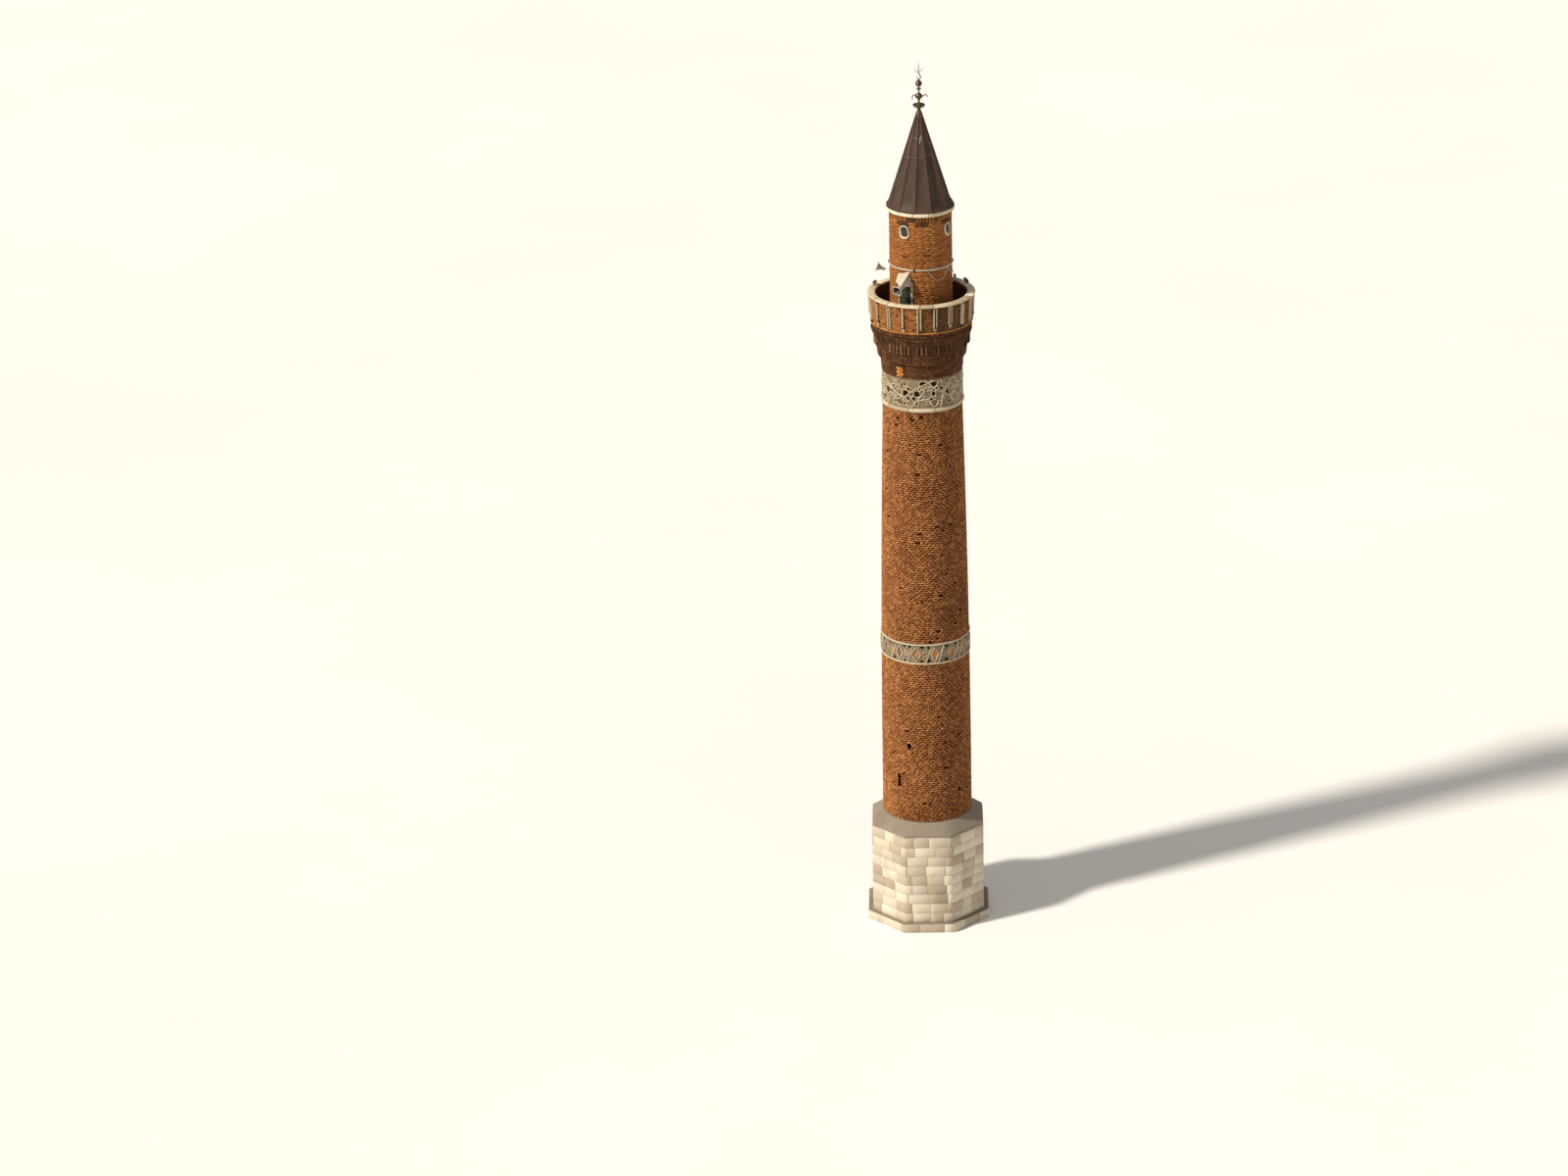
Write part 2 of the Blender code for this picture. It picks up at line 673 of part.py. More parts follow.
def make_door():
    """A pale frame set in the wall, and the closed leaf inside it."""
    half = DOOR_OPENING_WIDTH / 2 - GAP
    face = sqrt(DRUM_OUTER**2 - half**2) + DOOR_FRAME_PROUD
    top = DOOR_OPENING_HEIGHT - GAP
    foot = 2 * GAP
    inside = half - DOOR_POST
    lintel = top - DOOR_POST
    right_side = [(inside, lintel), (inside, foot), (half, foot), (half, top)]
    outline = [(-x, z) for x, z in reversed(right_side)] + right_side
    frame = radial_prism(outline, face - DOOR_FRAME_DEPTH, face, DOOR_BEARING, DECK_TOP)
    place("door_frame", frame, "pale_stone")
    leaf_face = face - DOOR_LEAF_SET_BACK
    leaf_outline = rectangle(2 * (inside - GAP), foot, lintel - GAP)
    leaf_back = leaf_face - DOOR_LEAF_THICK
    leaf = radial_prism(leaf_outline, leaf_back, leaf_face, DOOR_BEARING, DECK_TOP)
    place("balcony_door", leaf, "green_paint")


def make_strap():
    low, high = STRAP_HEIGHT - STRAP_WIDTH / 2, STRAP_HEIGHT + STRAP_WIDTH / 2
    outer = DRUM_OUTER + STRAP_THICK
    ring("drum_strap", "grey_sheet", [(outer, low), (outer, high)], DRUM_OUTER + GAP, DOOR_BEARING)


def make_cornice():
    foot = DRUM_TOP + GAP
    profile = [
        (CORNICE_OUTER - CORNICE_FOOT_INSET, foot),
        (CORNICE_OUTER, foot + 2 * CORNICE_FOOT_INSET),
        (CORNICE_OUTER, CORNICE_TOP - CORNICE_TOP_INSET),
        (CORNICE_OUTER - CORNICE_TOP_INSET, CORNICE_TOP),
    ]
    ring("drum_cornice", "pale_stone", profile, DRUM_INNER)


def make_cone():
    """The twelve-sided sheet-metal roof, open underneath."""
    foot = CORNICE_TOP + GAP
    levels = [
        (CONE_TOP_RADIUS / 4, CONE_TOP - 3 * CONE_SHELL),
        (CONE_KNEE_RADIUS - CONE_SHELL, CONE_KNEE_HEIGHT - CONE_SHELL),
        (CONE_FOOT_RADIUS - CONE_SHELL, foot),
        (CONE_FOOT_RADIUS, foot),
        (CONE_KNEE_RADIUS, CONE_KNEE_HEIGHT),
        (CONE_TOP_RADIUS, CONE_TOP),
    ]
    loops = []
    for radius, height in levels:
        plan = circle(radius, CONE_SEAM_BEARING, CONE_SIDES)
        loops.append([(x, y, height) for x, y in plan])
    place("cone_roof", loft(loops), "roof_sheet")


def ball(radius, middle, neck, points=8):
    """Profile points up the side of a ball, between the necks that it meets below and above."""
    start = atan2(-sqrt(radius**2 - neck**2), neck)
    turns = [start - 2 * start * step / points for step in range(points + 1)]
    return [(radius * cos(turn), middle + radius * sin(turn)) for turn in turns]


def make_dish():
    """A pointed socket over the roof's tip, a shallow dish with a raised rim, and a flared neck."""
    rim_top = DISH_HEIGHT + DISH_RIM_RISE
    slope_top = DISH_HEIGHT - 0.12
    profile = [
        (SOCKET_RADIUS - 0.01, CONE_TOP + GAP),
        (SOCKET_RADIUS, CONE_TOP + 0.03),
        (SOCKET_RADIUS / 3, slope_top),
        (DISH_RADIUS * 0.5, DISH_HEIGHT - 0.07),
        (DISH_RADIUS * 0.9, DISH_HEIGHT - 0.02),
        (DISH_RADIUS, rim_top),
        (DISH_RADIUS - 0.03, rim_top),
        (NECK_FLARE, DISH_HEIGHT),
        (NECK_FLARE * 0.7, DISH_HEIGHT + 0.05),
        (STEM_RADIUS, DISH_HEIGHT + 0.14),
        (STEM_RADIUS, DISH_TOP),
    ]
    turned("finial_dish", "dark_bronze", profile, FINIAL_SIDES)


def make_flower_ball():
    """A pear-shaped bulb with a curled arm on each side, and a small cup above it."""
    foot = DISH_TOP + GAP
    profile = [
        (STEM_RADIUS, foot),
        (PEAR_RADIUS * 0.75, PEAR_HEIGHT - 0.07),
        (PEAR_RADIUS, PEAR_HEIGHT),
        (PEAR_RADIUS * 0.8, PEAR_HEIGHT + 0.08),
        (STEM_RADIUS, PEAR_HEIGHT + 0.15),
        (ROD_RADIUS, CUP_HEIGHT - 0.09),
        (CUP_RADIUS * 0.7, CUP_HEIGHT - 0.05),
        (CUP_RADIUS, CUP_HEIGHT),
        (CUP_RADIUS * 0.8, CUP_HEIGHT + 0.03),
        (ROD_RADIUS, CUP_HEIGHT + 0.02),
        (ROD_RADIUS, FLOWER_TOP),
    ]
    flower = turned("finial_flower_ball", "dark_bronze", profile, FINIAL_SIDES)
    weld(flower, "left_arm", bent_rod(LEFT_ARM, ARM_RADIUS, ARM_TIP_SHARE))
    weld(flower, "right_arm", bent_rod(RIGHT_ARM, ARM_RADIUS, ARM_TIP_SHARE))


def make_upper_ball():
    """A ball with a knot above it: one stem that bends like an S, and one short leaf."""
    foot = FLOWER_TOP + GAP
    profile = [(ROD_RADIUS, foot), *ball(BALL_RADIUS, BALL_HEIGHT, ROD_RADIUS)]
    upper = turned("finial_upper_ball", "dark_bronze", profile, FINIAL_SIDES)
    weld(upper, "knot_stem", bent_rod(KNOT, ARM_RADIUS, ARM_TIP_SHARE))
    weld(upper, "knot_leaf", bent_rod(KNOT_LEAF, ARM_RADIUS, ARM_TIP_SHARE))


def make_crescent(points=12):
    """An upturned crescent, flat in the plane that faces the front, with a spike rising from it."""
    foot = UPPER_BALL_TOP + GAP
    middle = foot + CRESCENT_RADIUS
    reach = radians(CRESCENT_REACH)
    outer_line = []
    for step in range(points + 1):
        turn = -pi / 2 - reach + 2 * reach * step / points
        outer_line.append((CRESCENT_RADIUS * cos(turn), middle + CRESCENT_RADIUS * sin(turn)))
    horn_x, horn_z = outer_line[-1]
    inner_middle = middle + CRESCENT_LIFT
    inner_radius = sqrt(horn_x**2 + (horn_z - inner_middle) ** 2)
    start = atan2(horn_z - inner_middle, horn_x)
    inner_line = []
    for step in range(1, points):
        turn = start - (pi + 2 * start) * step / points
        inner_line.append((inner_radius * cos(turn), inner_middle + inner_radius * sin(turn)))
    outline = outer_line + inner_line
    half = CRESCENT_THICK / 2
    crescent = place("finial_crescent", radial_prism(outline, -half, half, 0.0, 0.0), "dark_bronze")
    spike_foot = Vector((0, 0, foot + CRESCENT_THICK / 4))
    tip = Vector((0, 0, TOTAL_HEIGHT))
    spike = rod(spike_foot, tip, SPIKE_FOOT_RADIUS, SPIKE_TIP_RADIUS, sides=12)
    weld(crescent, "crescent_spike", spike)


def make_hood(drum_face):
    """A small gabled roof of bent sheet that juts from the drum over the door."""
    rim = []
    for wall, front in (HOOD_LEFT_EAVE, HOOD_RIDGE, HOOD_RIGHT_EAVE):
        wall, front = Vector(wall), Vector(front)
        root = wall + (wall - front) * HOOD_ROOT_DEPTH / (front.y - wall.y)
        rim.append((root, front))
    (left_root, left_front), (ridge_root, ridge_front), (right_root, right_front) = rim
    outline = (left_root, ridge_root, right_root, right_front, ridge_front, left_front)
    bm = bmesh.new()
    above = [bm.verts.new(point) for point in outline]
    below = [bm.verts.new(point - Vector((0, 0, HOOD_SHEET))) for point in outline]
    for here in range(len(outline)):
        there = (here + 1) % len(outline)
        bm.faces.new((above[here], above[there], below[there], below[here]))
    for skin in (above, below):
        for corners in ((0, 1, 5), (1, 4, 5), (1, 2, 3), (1, 3, 4)):
            bm.faces.new([skin[corner] for corner in corners])
    bm.transform(outward_frame(DOOR_BEARING))
    cut(place("door_hood", bm, "grey_sheet"), drum_face)


def horn_shape():
    """A square flare with round corners and a closed mouth, which looks along +Y."""
    levels = (
        (SPEAKER_THROAT, -SPEAKER_LENGTH),
        (SPEAKER_THROAT, -SPEAKER_LENGTH * 0.6),
        (SPEAKER_MOUTH * 0.62, -SPEAKER_LENGTH * 0.25),
        (SPEAKER_MOUTH, 0.0),
        (SPEAKER_MOUTH - SPEAKER_RIM, 0.0),
        (SPEAKER_MOUTH - SPEAKER_RIM, -SPEAKER_RIM),
    )
    loops = []
    for half, depth in levels:
        loop = []
        for step in range(SPEAKER_POINTS):
            turn = 2 * pi * (step + 0.5) / SPEAKER_POINTS
            stretch = (abs(cos(turn)) ** 4 + abs(sin(turn)) ** 4) ** -0.25
            loop.append((half * stretch * cos(turn), depth, half * stretch * sin(turn)))
        loops.append(loop)
    return loft(loops)


def make_speakers(drum_face):
    """Horn loudspeakers, each on an arm whose root follows the drum's face."""
    for name, ((bearing, reach, height), (facing, tilt), (arm_bearing, arm_rise)) in SPEAKERS.items():
        mouth = on_bearing(DRUM_OUTER + reach, bearing, height)
        turn = outward_frame(facing) @ Matrix.Rotation(radians(tilt), 4, "X")
        aim = Matrix.Translation(mouth) @ turn
        horn = horn_shape()
        horn.transform(aim)
        speaker = place(name, horn, "grey_plastic")
        throat = aim @ Vector((0, -SPEAKER_LENGTH * 0.8, 0))
        root = on_bearing(DRUM_OUTER * 0.9, arm_bearing, throat.z + arm_rise)
        weld(speaker, name + "_arm", rod(root, throat, SPEAKER_ARM, SPEAKER_ARM))
        cut(speaker, drum_face)


def make_floodlights():
    """Small floodlights clamped on the coping: a box on a foot, aimed up at the drum."""
    half_foot = FLOODLIGHT_FOOT / 2
    for name, (bearing, tilt, width, depth, tall) in FLOODLIGHTS.items():
        seat = outward_frame(bearing, FLOODLIGHT_RADIUS, COPING_TOP + GAP)
        box = upright_prism(rectangle(width, -depth / 2, depth / 2), -tall / 2, tall / 2)
        lean = Matrix.Rotation(radians(tilt), 4, "X")
        box.transform(seat @ Matrix.Translation((0, 0, FLOODLIGHT_LIFT)) @ lean)
        light = place(name, box, "black_plastic")
        foot = upright_prism(rectangle(FLOODLIGHT_FOOT, -half_foot, half_foot), 0.0, FLOODLIGHT_LIFT)
        foot.transform(seat)
        weld(light, name + "_foot", foot)


def main():
    clear_scene()
    make_plinth()
    make_base()
    make_collar()
    make_shaft()
    make_bands()
    make_corbelling()
    make_deck()
    make_parapet()
    make_coping()
    make_drum()
    make_oculi()
    make_door()
    make_strap()
    make_cornice()
    make_cone()
    make_dish()
    make_flower_ball()
    make_upper_ball()
    make_crescent()
    # The drum's round face, a joint's gap proud, shapes whatever is fixed against it.
    face_plan = circle(DRUM_OUTER + GAP, DOOR_BEARING)
    drum_face = make_cutter("drum_face", upright_prism(face_plan, DECK_TOP, DRUM_TOP))
    make_hood(drum_face)
    make_speakers(drum_face)
    make_floodlights()


main()
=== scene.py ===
# %% [markdown]
# # A brick minaret
#
# This lesson dresses a plain solid model of a 35 m minaret until it looks like the real tower:
# bricks with deep joints, two inlaid bands, a corbelled balcony, a sheet-metal roof and a bronze
# finial. The solid model comes first, because every piece below is laid on it. One unit is one
# metre, and +Z is up. A bearing is an angle about the tower's axis: 0 faces the camera and 90
# faces to the right.

# %% Load the solid model
from math import atan2, cos, degrees, hypot, pi, radians, sin, sqrt, tau

import bmesh
import bpy
import numpy as np
from mathutils import Matrix, Vector
from mathutils.geometry import delaunay_2d_cdt


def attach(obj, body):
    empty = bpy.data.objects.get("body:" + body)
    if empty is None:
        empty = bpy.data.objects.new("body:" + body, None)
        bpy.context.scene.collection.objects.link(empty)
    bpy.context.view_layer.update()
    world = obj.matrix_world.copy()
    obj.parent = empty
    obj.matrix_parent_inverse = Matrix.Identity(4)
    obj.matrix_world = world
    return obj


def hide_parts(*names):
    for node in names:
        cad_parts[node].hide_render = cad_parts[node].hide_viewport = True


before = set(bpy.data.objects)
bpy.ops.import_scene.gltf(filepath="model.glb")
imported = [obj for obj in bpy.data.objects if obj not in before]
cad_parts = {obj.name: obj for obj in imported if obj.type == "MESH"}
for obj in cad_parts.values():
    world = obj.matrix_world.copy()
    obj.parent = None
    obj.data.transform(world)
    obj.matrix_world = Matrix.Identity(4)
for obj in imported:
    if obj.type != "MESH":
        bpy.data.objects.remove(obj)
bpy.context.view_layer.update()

# %% [markdown]
# ## The camera
#
# The tower is seen from far away and from about 22 degrees above the horizontal, so it hardly
# converges. A long lens does that: a short one close by would make the balcony look much larger
# than the foot. The tower stands right of the middle of the picture, so the lens is shifted a
# little. It also leans a little to the left in the picture, and since a tower should stand
# upright, the camera is rolled instead.

# %% Camera
CAMERA_PLACE = Vector((0.0, -177.1, 85.3))
LOOKS_DOWN = 22.0
LENS_MM = 112.5
PICTURE_WIDTH = 1600
TOWER_COLUMN = 943.7
ROLL = 0.70

camera_data = bpy.data.cameras.new("camera")
camera_data.lens = LENS_MM
camera_data.shift_x = -(TOWER_COLUMN - PICTURE_WIDTH / 2) / PICTURE_WIDTH
camera_data.clip_end = 3000
camera = bpy.data.objects.new("camera", camera_data)
tilt = Matrix.Rotation(radians(90 - LOOKS_DOWN), 4, "X")
roll = Matrix.Rotation(radians(-ROLL), 4, "Z")
camera.matrix_world = Matrix.Translation(CAMERA_PLACE) @ tilt @ roll
bpy.context.scene.collection.objects.link(camera)
bpy.context.scene.camera = camera
print("camera shift:", round(camera_data.shift_x, 4))

# %% [markdown]
# ## Light
#
# Brick shows its relief when light rakes across it. One soft lamp, high and to the left, gives
# every brick a bright upper edge and a dark joint, and a pale sky fills the shadows. A sun lamp
# is used, because its light is the same at the foot and at the tip of a tall thing, and its
# angle is set wide so that shadows have soft edges.

# %% Light
SUN_BEARING = -63.0
SUN_HEIGHT = 40.0
SUN_STRENGTH = 4.1
SUN_SPREAD = 5.0
SKY_STRENGTH = 0.42


def on_wall(radius, bearing, height):
    """The point at this distance from the axis, bearing and height."""
    return Vector((radius * sin(radians(bearing)), -radius * cos(radians(bearing)), height))


def make_sun(name, bearing, height, strength, spread, colour):
    lamp = bpy.data.lights.new(name, "SUN")
    lamp.energy = strength
    lamp.angle = radians(spread)
    lamp.color = colour
    sun = bpy.data.objects.new(name, lamp)
    toward = on_wall(cos(radians(height)), bearing, sin(radians(height)))
    sun.rotation_euler = toward.to_track_quat("Z", "Y").to_euler()
    sun.location = toward * 60
    bpy.context.scene.collection.objects.link(sun)


make_sun("key_light", SUN_BEARING, SUN_HEIGHT, SUN_STRENGTH, SUN_SPREAD, (1.0, 0.91, 0.79))
sky = bpy.data.worlds.new("sky")
sky.use_nodes = True
sky.node_tree.nodes["Background"].inputs["Color"].default_value = (1.0, 0.97, 0.93, 1.0)
sky.node_tree.nodes["Background"].inputs["Strength"].default_value = SKY_STRENGTH
bpy.context.scene.world = sky
bpy.context.scene.view_settings.view_transform = "Standard"

# %% [markdown]
# ## Building a finish from nodes
#
# A finish here is a small chain of nodes. One number for each block, its tone, picks a colour on
# a ramp, as fired clay and quarried stone vary from piece to piece. Fine noise adds grain, coarse
# noise adds stains, and the same noise bends the light through a bump node. Doing this in nodes,
# and not in a picture, keeps the grain at its real size wherever the surface goes.

# %% Node helpers
MASONRY_SHINE = 0.2
GRAIN_TINT = (1.25, 1.22, 1.18)
BED_STAIN = (0.6, 0.6, 0.6)


def add_node(tree, kind, inputs=None, **settings):
    """Adds a node, sets its options, then fills or links its inputs by name or number."""
    made = tree.nodes.new("ShaderNode" + kind)
    for option, value in settings.items():
        setattr(made, option, value)
    for socket, value in (inputs or {}).items():
        if isinstance(value, bpy.types.NodeSocket):
            tree.links.new(value, made.inputs[socket])
        else:
            made.inputs[socket].default_value = value
    return made


def new_finish(name, metallic=0.0):
    """An empty node material: its tree and its shader."""
    material = bpy.data.materials.new(name)
    material.use_nodes = True
    tree = material.node_tree
    shader = tree.nodes["Principled BSDF"]
    shader.inputs["Metallic"].default_value = metallic
    return material, tree, shader


def ramp(tree, factor, stops):
    """A colour ramp through (place, colour) stops, driven by a socket."""
    made = add_node(tree, "ValToRGB", {"Fac": factor})
    elements = made.color_ramp.elements
    while len(elements) < len(stops):
        elements.new(0.5)
    for element, (place, colour) in zip(elements, stops):
        element.position = place
        element.color = (*colour, 1.0)
    return made.outputs["Color"]


def mix(tree, factor, first, second, blend="MIX"):
    """Mixes two colours; each is a socket or a plain colour."""
    made = add_node(tree, "Mix", data_type="RGBA", blend_type=blend)
    colours = [socket for socket in made.inputs if socket.type == "RGBA"]
    for socket, value in zip((made.inputs["Factor"], *colours), (factor, first, second)):
        if isinstance(value, bpy.types.NodeSocket):
            tree.links.new(value, socket)
        else:
            socket.default_value = value if socket.type == "VALUE" else (*value, 1.0)
    return [socket for socket in made.outputs if socket.type == "RGBA"][0]


def noise(tree, size, detail=4.0, roughness=0.55, stretch=(1.0, 1.0, 1.0)):
    """Noise whose bumps are about this size in metres, stretched along an axis if asked."""
    place = add_node(tree, "TexCoord").outputs["Object"]
    scaled = add_node(tree, "Mapping", {"Vector": place, "Scale": tuple(1.0 / s for s in stretch)})
    grain = {
        "Vector": scaled.outputs["Vector"],
        "Scale": 1.0 / size,
        "Detail": detail,
        "Roughness": roughness,
    }
    return add_node(tree, "TexNoise", grain).outputs["Fac"]


def sharpen(tree, factor, low, high):
    """Stretches the part of a factor between low and high over the whole range from 0 to 1."""
    limits = {"Value": factor, "From Min": low, "From Max": high}
    return add_node(tree, "MapRange", limits, interpolation_type="SMOOTHSTEP").outputs["Result"]


def times(tree, factor, share):
    return add_node(tree, "Math", {0: factor, 1: share}, operation="MULTIPLY").outputs[0]


def tone_ramp(tree, tones):
    """The colour that a block's own tone picks from a row of colours."""
    tone = add_node(tree, "Attribute", attribute_name="tone").outputs["Fac"]
    return ramp(tree, tone, [(k / max(len(tones) - 1, 1), colour) for k, colour in enumerate(tones)])


def masonry_finish(name, tones, stain, grain_size=0.012, grain_depth=0.004, stain_share=0.5,
                   stain_size=0.9, rough=0.88):
    """Fired clay or stone: a tone for each block, grain, coarse stains and a grainy bump."""
    material, tree, shader = new_finish(name)
    shader.inputs["Specular IOR Level"].default_value = MASONRY_SHINE
    grain = noise(tree, grain_size, detail=5.0)
    pits = sharpen(tree, grain, 0.35, 0.75)
    pitted = mix(tree, pits, tone_ramp(tree, tones), GRAIN_TINT, "MULTIPLY")
    patches = sharpen(tree, noise(tree, stain_size, detail=6.0, stretch=(1.0, 1.0, 1.8)), 0.48, 0.72)
    stained = mix(tree, times(tree, patches, stain_share), pitted, stain, "MULTIPLY")
    tree.links.new(stained, shader.inputs["Base Color"])
    dust = ramp(tree, grain, [(0.3, (rough - 0.1,) * 3), (0.7, (min(rough + 0.08, 1.0),) * 3)])
    tree.links.new(dust, shader.inputs["Roughness"])
    bump = add_node(tree, "Bump", {"Height": grain, "Strength": 0.7, "Distance": grain_depth})
    tree.links.new(bump.outputs["Normal"], shader.inputs["Normal"])
    return material


def metal_finish(name, tones, worn, metallic, rough, wear_size=0.05, wear_share=0.6,
                 dent=0.002, shine=0.5):
    """Sheet or cast metal: its tone, worn or rusted patches, uneven gloss and shallow dents."""
    material, tree, shader = new_finish(name, metallic)
    shader.inputs["Specular IOR Level"].default_value = shine
    patches = sharpen(tree, noise(tree, wear_size, detail=7.0, roughness=0.65), 0.50, 0.72)
    streaks = sharpen(tree, noise(tree, wear_size * 1.5, detail=5.0, stretch=(1.0, 1.0, 9.0)), 0.45, 0.75)
    toned = mix(tree, times(tree, streaks, 0.5), tone_ramp(tree, tones), worn, "MIX")
    colour = mix(tree, times(tree, patches, wear_share), toned, worn, "MIX")
    tree.links.new(colour, shader.inputs["Base Color"])
    gloss = ramp(tree, patches, [(0.0, (rough,) * 3), (1.0, (min(rough + 0.3, 1.0),) * 3)])
    tree.links.new(gloss, shader.inputs["Roughness"])
    dents = noise(tree, wear_size * 4, detail=3.0)
    bump = add_node(tree, "Bump", {"Height": dents, "Strength": 0.6, "Distance": dent * 4})
    edges = {"Height": patches, "Strength": 0.4, "Distance": dent, "Normal": bump.outputs["Normal"]}
    fine = add_node(tree, "Bump", edges)
    tree.links.new(fine.outputs["Normal"], shader.inputs["Normal"])
    return material


print("share of light that masonry mirrors:", MASONRY_SHINE)

# %% [markdown]
# ## The floor
#
# The model stands on one wide pale sheet, as on studio paper. The sheet isn't part of the
# tower.

# %% Floor
FLOOR_SIZE = 1500.0
SQUARE = ((-1, -1), (1, -1), (1, 1), (-1, 1))

floor_finish, floor_tree, floor_shader = new_finish("floor_paper")
paper = ramp(floor_tree, noise(floor_tree, 40.0), [(0.3, (0.84, 0.84, 0.83)), (0.7, (0.88, 0.88, 0.87))])
floor_tree.links.new(paper, floor_shader.inputs["Base Color"])
floor_shader.inputs["Roughness"].default_value = 0.9
floor_mesh = bpy.data.meshes.new("floor")
half_floor = FLOOR_SIZE / 2
floor_corners = [(x * half_floor, y * half_floor, 0.0) for x, y in SQUARE]
floor_mesh.from_pydata(floor_corners, [], [(0, 1, 2, 3)])
floor_mesh.materials.append(floor_finish)
floor = bpy.data.objects.new("floor", floor_mesh)
bpy.context.scene.collection.objects.link(floor)
print("floor:", FLOOR_SIZE, "m wide")

# %% [markdown]
# ## From shapes to pieces
#
# A shape here is three things: its points, its faces, and its tone. Many shapes are joined into
# one mesh before it becomes an object, since Blender handles one mesh of ten thousand bricks far
# better than ten thousand objects. Each piece is then fixed to the tower, and takes the place of
# the plain solids that it covers.

# %% Piece helpers
random = np.random.default_rng(1213)


def add_piece(name, shapes, finish, replaces=(), sharp=None, tidy_normals=True):
    """Joins shapes into one mesh piece, with a finish, fixed to the tower."""
    points, faces, tones = [], [], []
    for shape_points, shape_faces, tone in shapes:
        start = sum(map(len, points))
        shape_points = np.asarray([tuple(p) for p in shape_points], float)
        points.append(shape_points)
        faces.extend([tuple(i + start for i in face) for face in shape_faces])
        tones.append(np.broadcast_to(np.asarray(tone, np.float32), len(shape_points)))
    mesh = bpy.data.meshes.new(name)
    mesh.from_pydata(np.vstack(points).tolist(), [], faces)
    if tidy_normals:
        draft = bmesh.new()
        draft.from_mesh(mesh)
        bmesh.ops.recalc_face_normals(draft, faces=draft.faces)
        draft.to_mesh(mesh)
        draft.free()
    attribute = mesh.attributes.new("tone", "FLOAT", "POINT")
    attribute.data.foreach_set("value", np.concatenate(tones).astype(np.float32))
    mesh.shade_smooth()
    if sharp is not None:
        mesh.set_sharp_from_angle(angle=radians(sharp))
    mesh.materials.append(finish)
    piece = bpy.data.objects.new(name, mesh)
    bpy.context.scene.collection.objects.link(piece)
    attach(piece, "root")
    if replaces:
        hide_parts(*replaces)
    print(f"{name}: {sum(len(p.vertices) - 2 for p in mesh.polygons)} triangles")
    return piece


def moved(shape, matrix):
    points, faces, tone = shape
    return [matrix @ Vector(point) for point in points], faces, tone


def facing(bearing, radius=0.0, height=0.0):
    """A frame on the wall: X runs to the right, Y points outward and Z points up."""
    right = on_wall(1.0, bearing + 90, 0.0)
    outward = on_wall(1.0, bearing, 0.0)
    turn = Matrix((right, outward, Vector((0, 0, 1)))).transposed().to_4x4()
    return Matrix.Translation(on_wall(radius, bearing, height)) @ turn


print("frame at bearing 0 points", facing(0).to_3x3() @ Vector((0, 1, 0)))

# %% [markdown]
# ## Shapes that a mason and a smith need
#
# Four shapes make nearly the whole tower. A profile turned about the axis makes rings and balls.
# A profile turned only part of the way makes one stone of a ring, with a joint on each side. An
# outline carried along a path makes straps, mouldings and rods. A box with eased edges makes
# small fittings. The first three are rows of points with faces between them, so one helper lays
# those faces for all of them.

# %% Shape helpers


def skin(count, rings, first=0, closed=False, open_rings=False, inside_out=False):
    """Faces between neighbouring rings of points, each ring with this many points."""
    faces = []
    for k in range(rings if closed else rings - 1):
        here, there = first + k * count, first + (k + 1) % rings * count
        for j in range(count - 1 if open_rings else count):
            i = (j + 1) % count
            outside = (here + j, there + j, there + i, here + i)
            faces.append((outside[0], *outside[:0:-1]) if inside_out else outside)
    return faces


def grid_rim(columns, rows):
    """The border of a grid of points, in order; the points run up one column after another."""
    rim = [column * rows for column in range(columns)]
    rim += [(columns - 1) * rows + row for row in range(1, rows)]
    rim += [column * rows + rows - 1 for column in range(columns - 2, -1, -1)]
    return rim + list(range(rows - 2, 0, -1))


def smoothed(knots, steps):
    """Points along a smooth curve that passes through every knot."""
    line = []
    for k in range(len(knots) - 1):
        a, b = knots[max(k - 1, 0)], knots[k]
        c, d = knots[k + 1], knots[min(k + 2, len(knots) - 1)]
        for step in range(steps):
            t = step / steps
            bend = (2 * a - 5 * b + 4 * c - d) * t**2
            twist = (3 * b - a - 3 * c + d) * t**3
            line.append(0.5 * (2 * b + (c - a) * t + bend + twist))
    return [*line, knots[-1]]


def turned(profile, sides=48, closed=False, tone=0.5):
    """A profile of (radius, height) points turned once about the axis."""
    count = len(profile)
    points = [on_wall(r, 360 * k / sides, z) for k in range(sides) for r, z in profile]
    faces = skin(count, sides, closed=True, open_rings=not closed)
    if not closed:
        faces.append(tuple(k * count for k in range(sides)))
        faces.append(tuple(k * count + count - 1 for k in range(sides)))
    return points, faces, tone


def ring_stone(profile, start, end, ease=0.012, step=6.0, tone=0.5):
    """One stone of a ring: a closed profile turned between two bearings, with eased ends."""
    middle = Vector(np.mean(profile, axis=0))
    shrunk = [Vector(p) + (middle - Vector(p)).normalized() * ease for p in profile]
    radius = max(r for r, _ in profile)
    bevel = degrees(ease / radius)
    inside = max(1, round((end - start) / step))
    span = end - start - 2 * bevel
    turns = [start, *(start + bevel + span * k / inside for k in range(inside + 1)), end]
    points = []
    for k, turn in enumerate(turns):
        outline = shrunk if k in (0, len(turns) - 1) else profile
        points += [on_wall(r, turn, z) for r, z in outline]
    count = len(profile)
    faces = skin(count, len(turns))
    faces += [tuple(range(count)), tuple(range(len(points) - count, len(points)))]
    return points, faces, tone


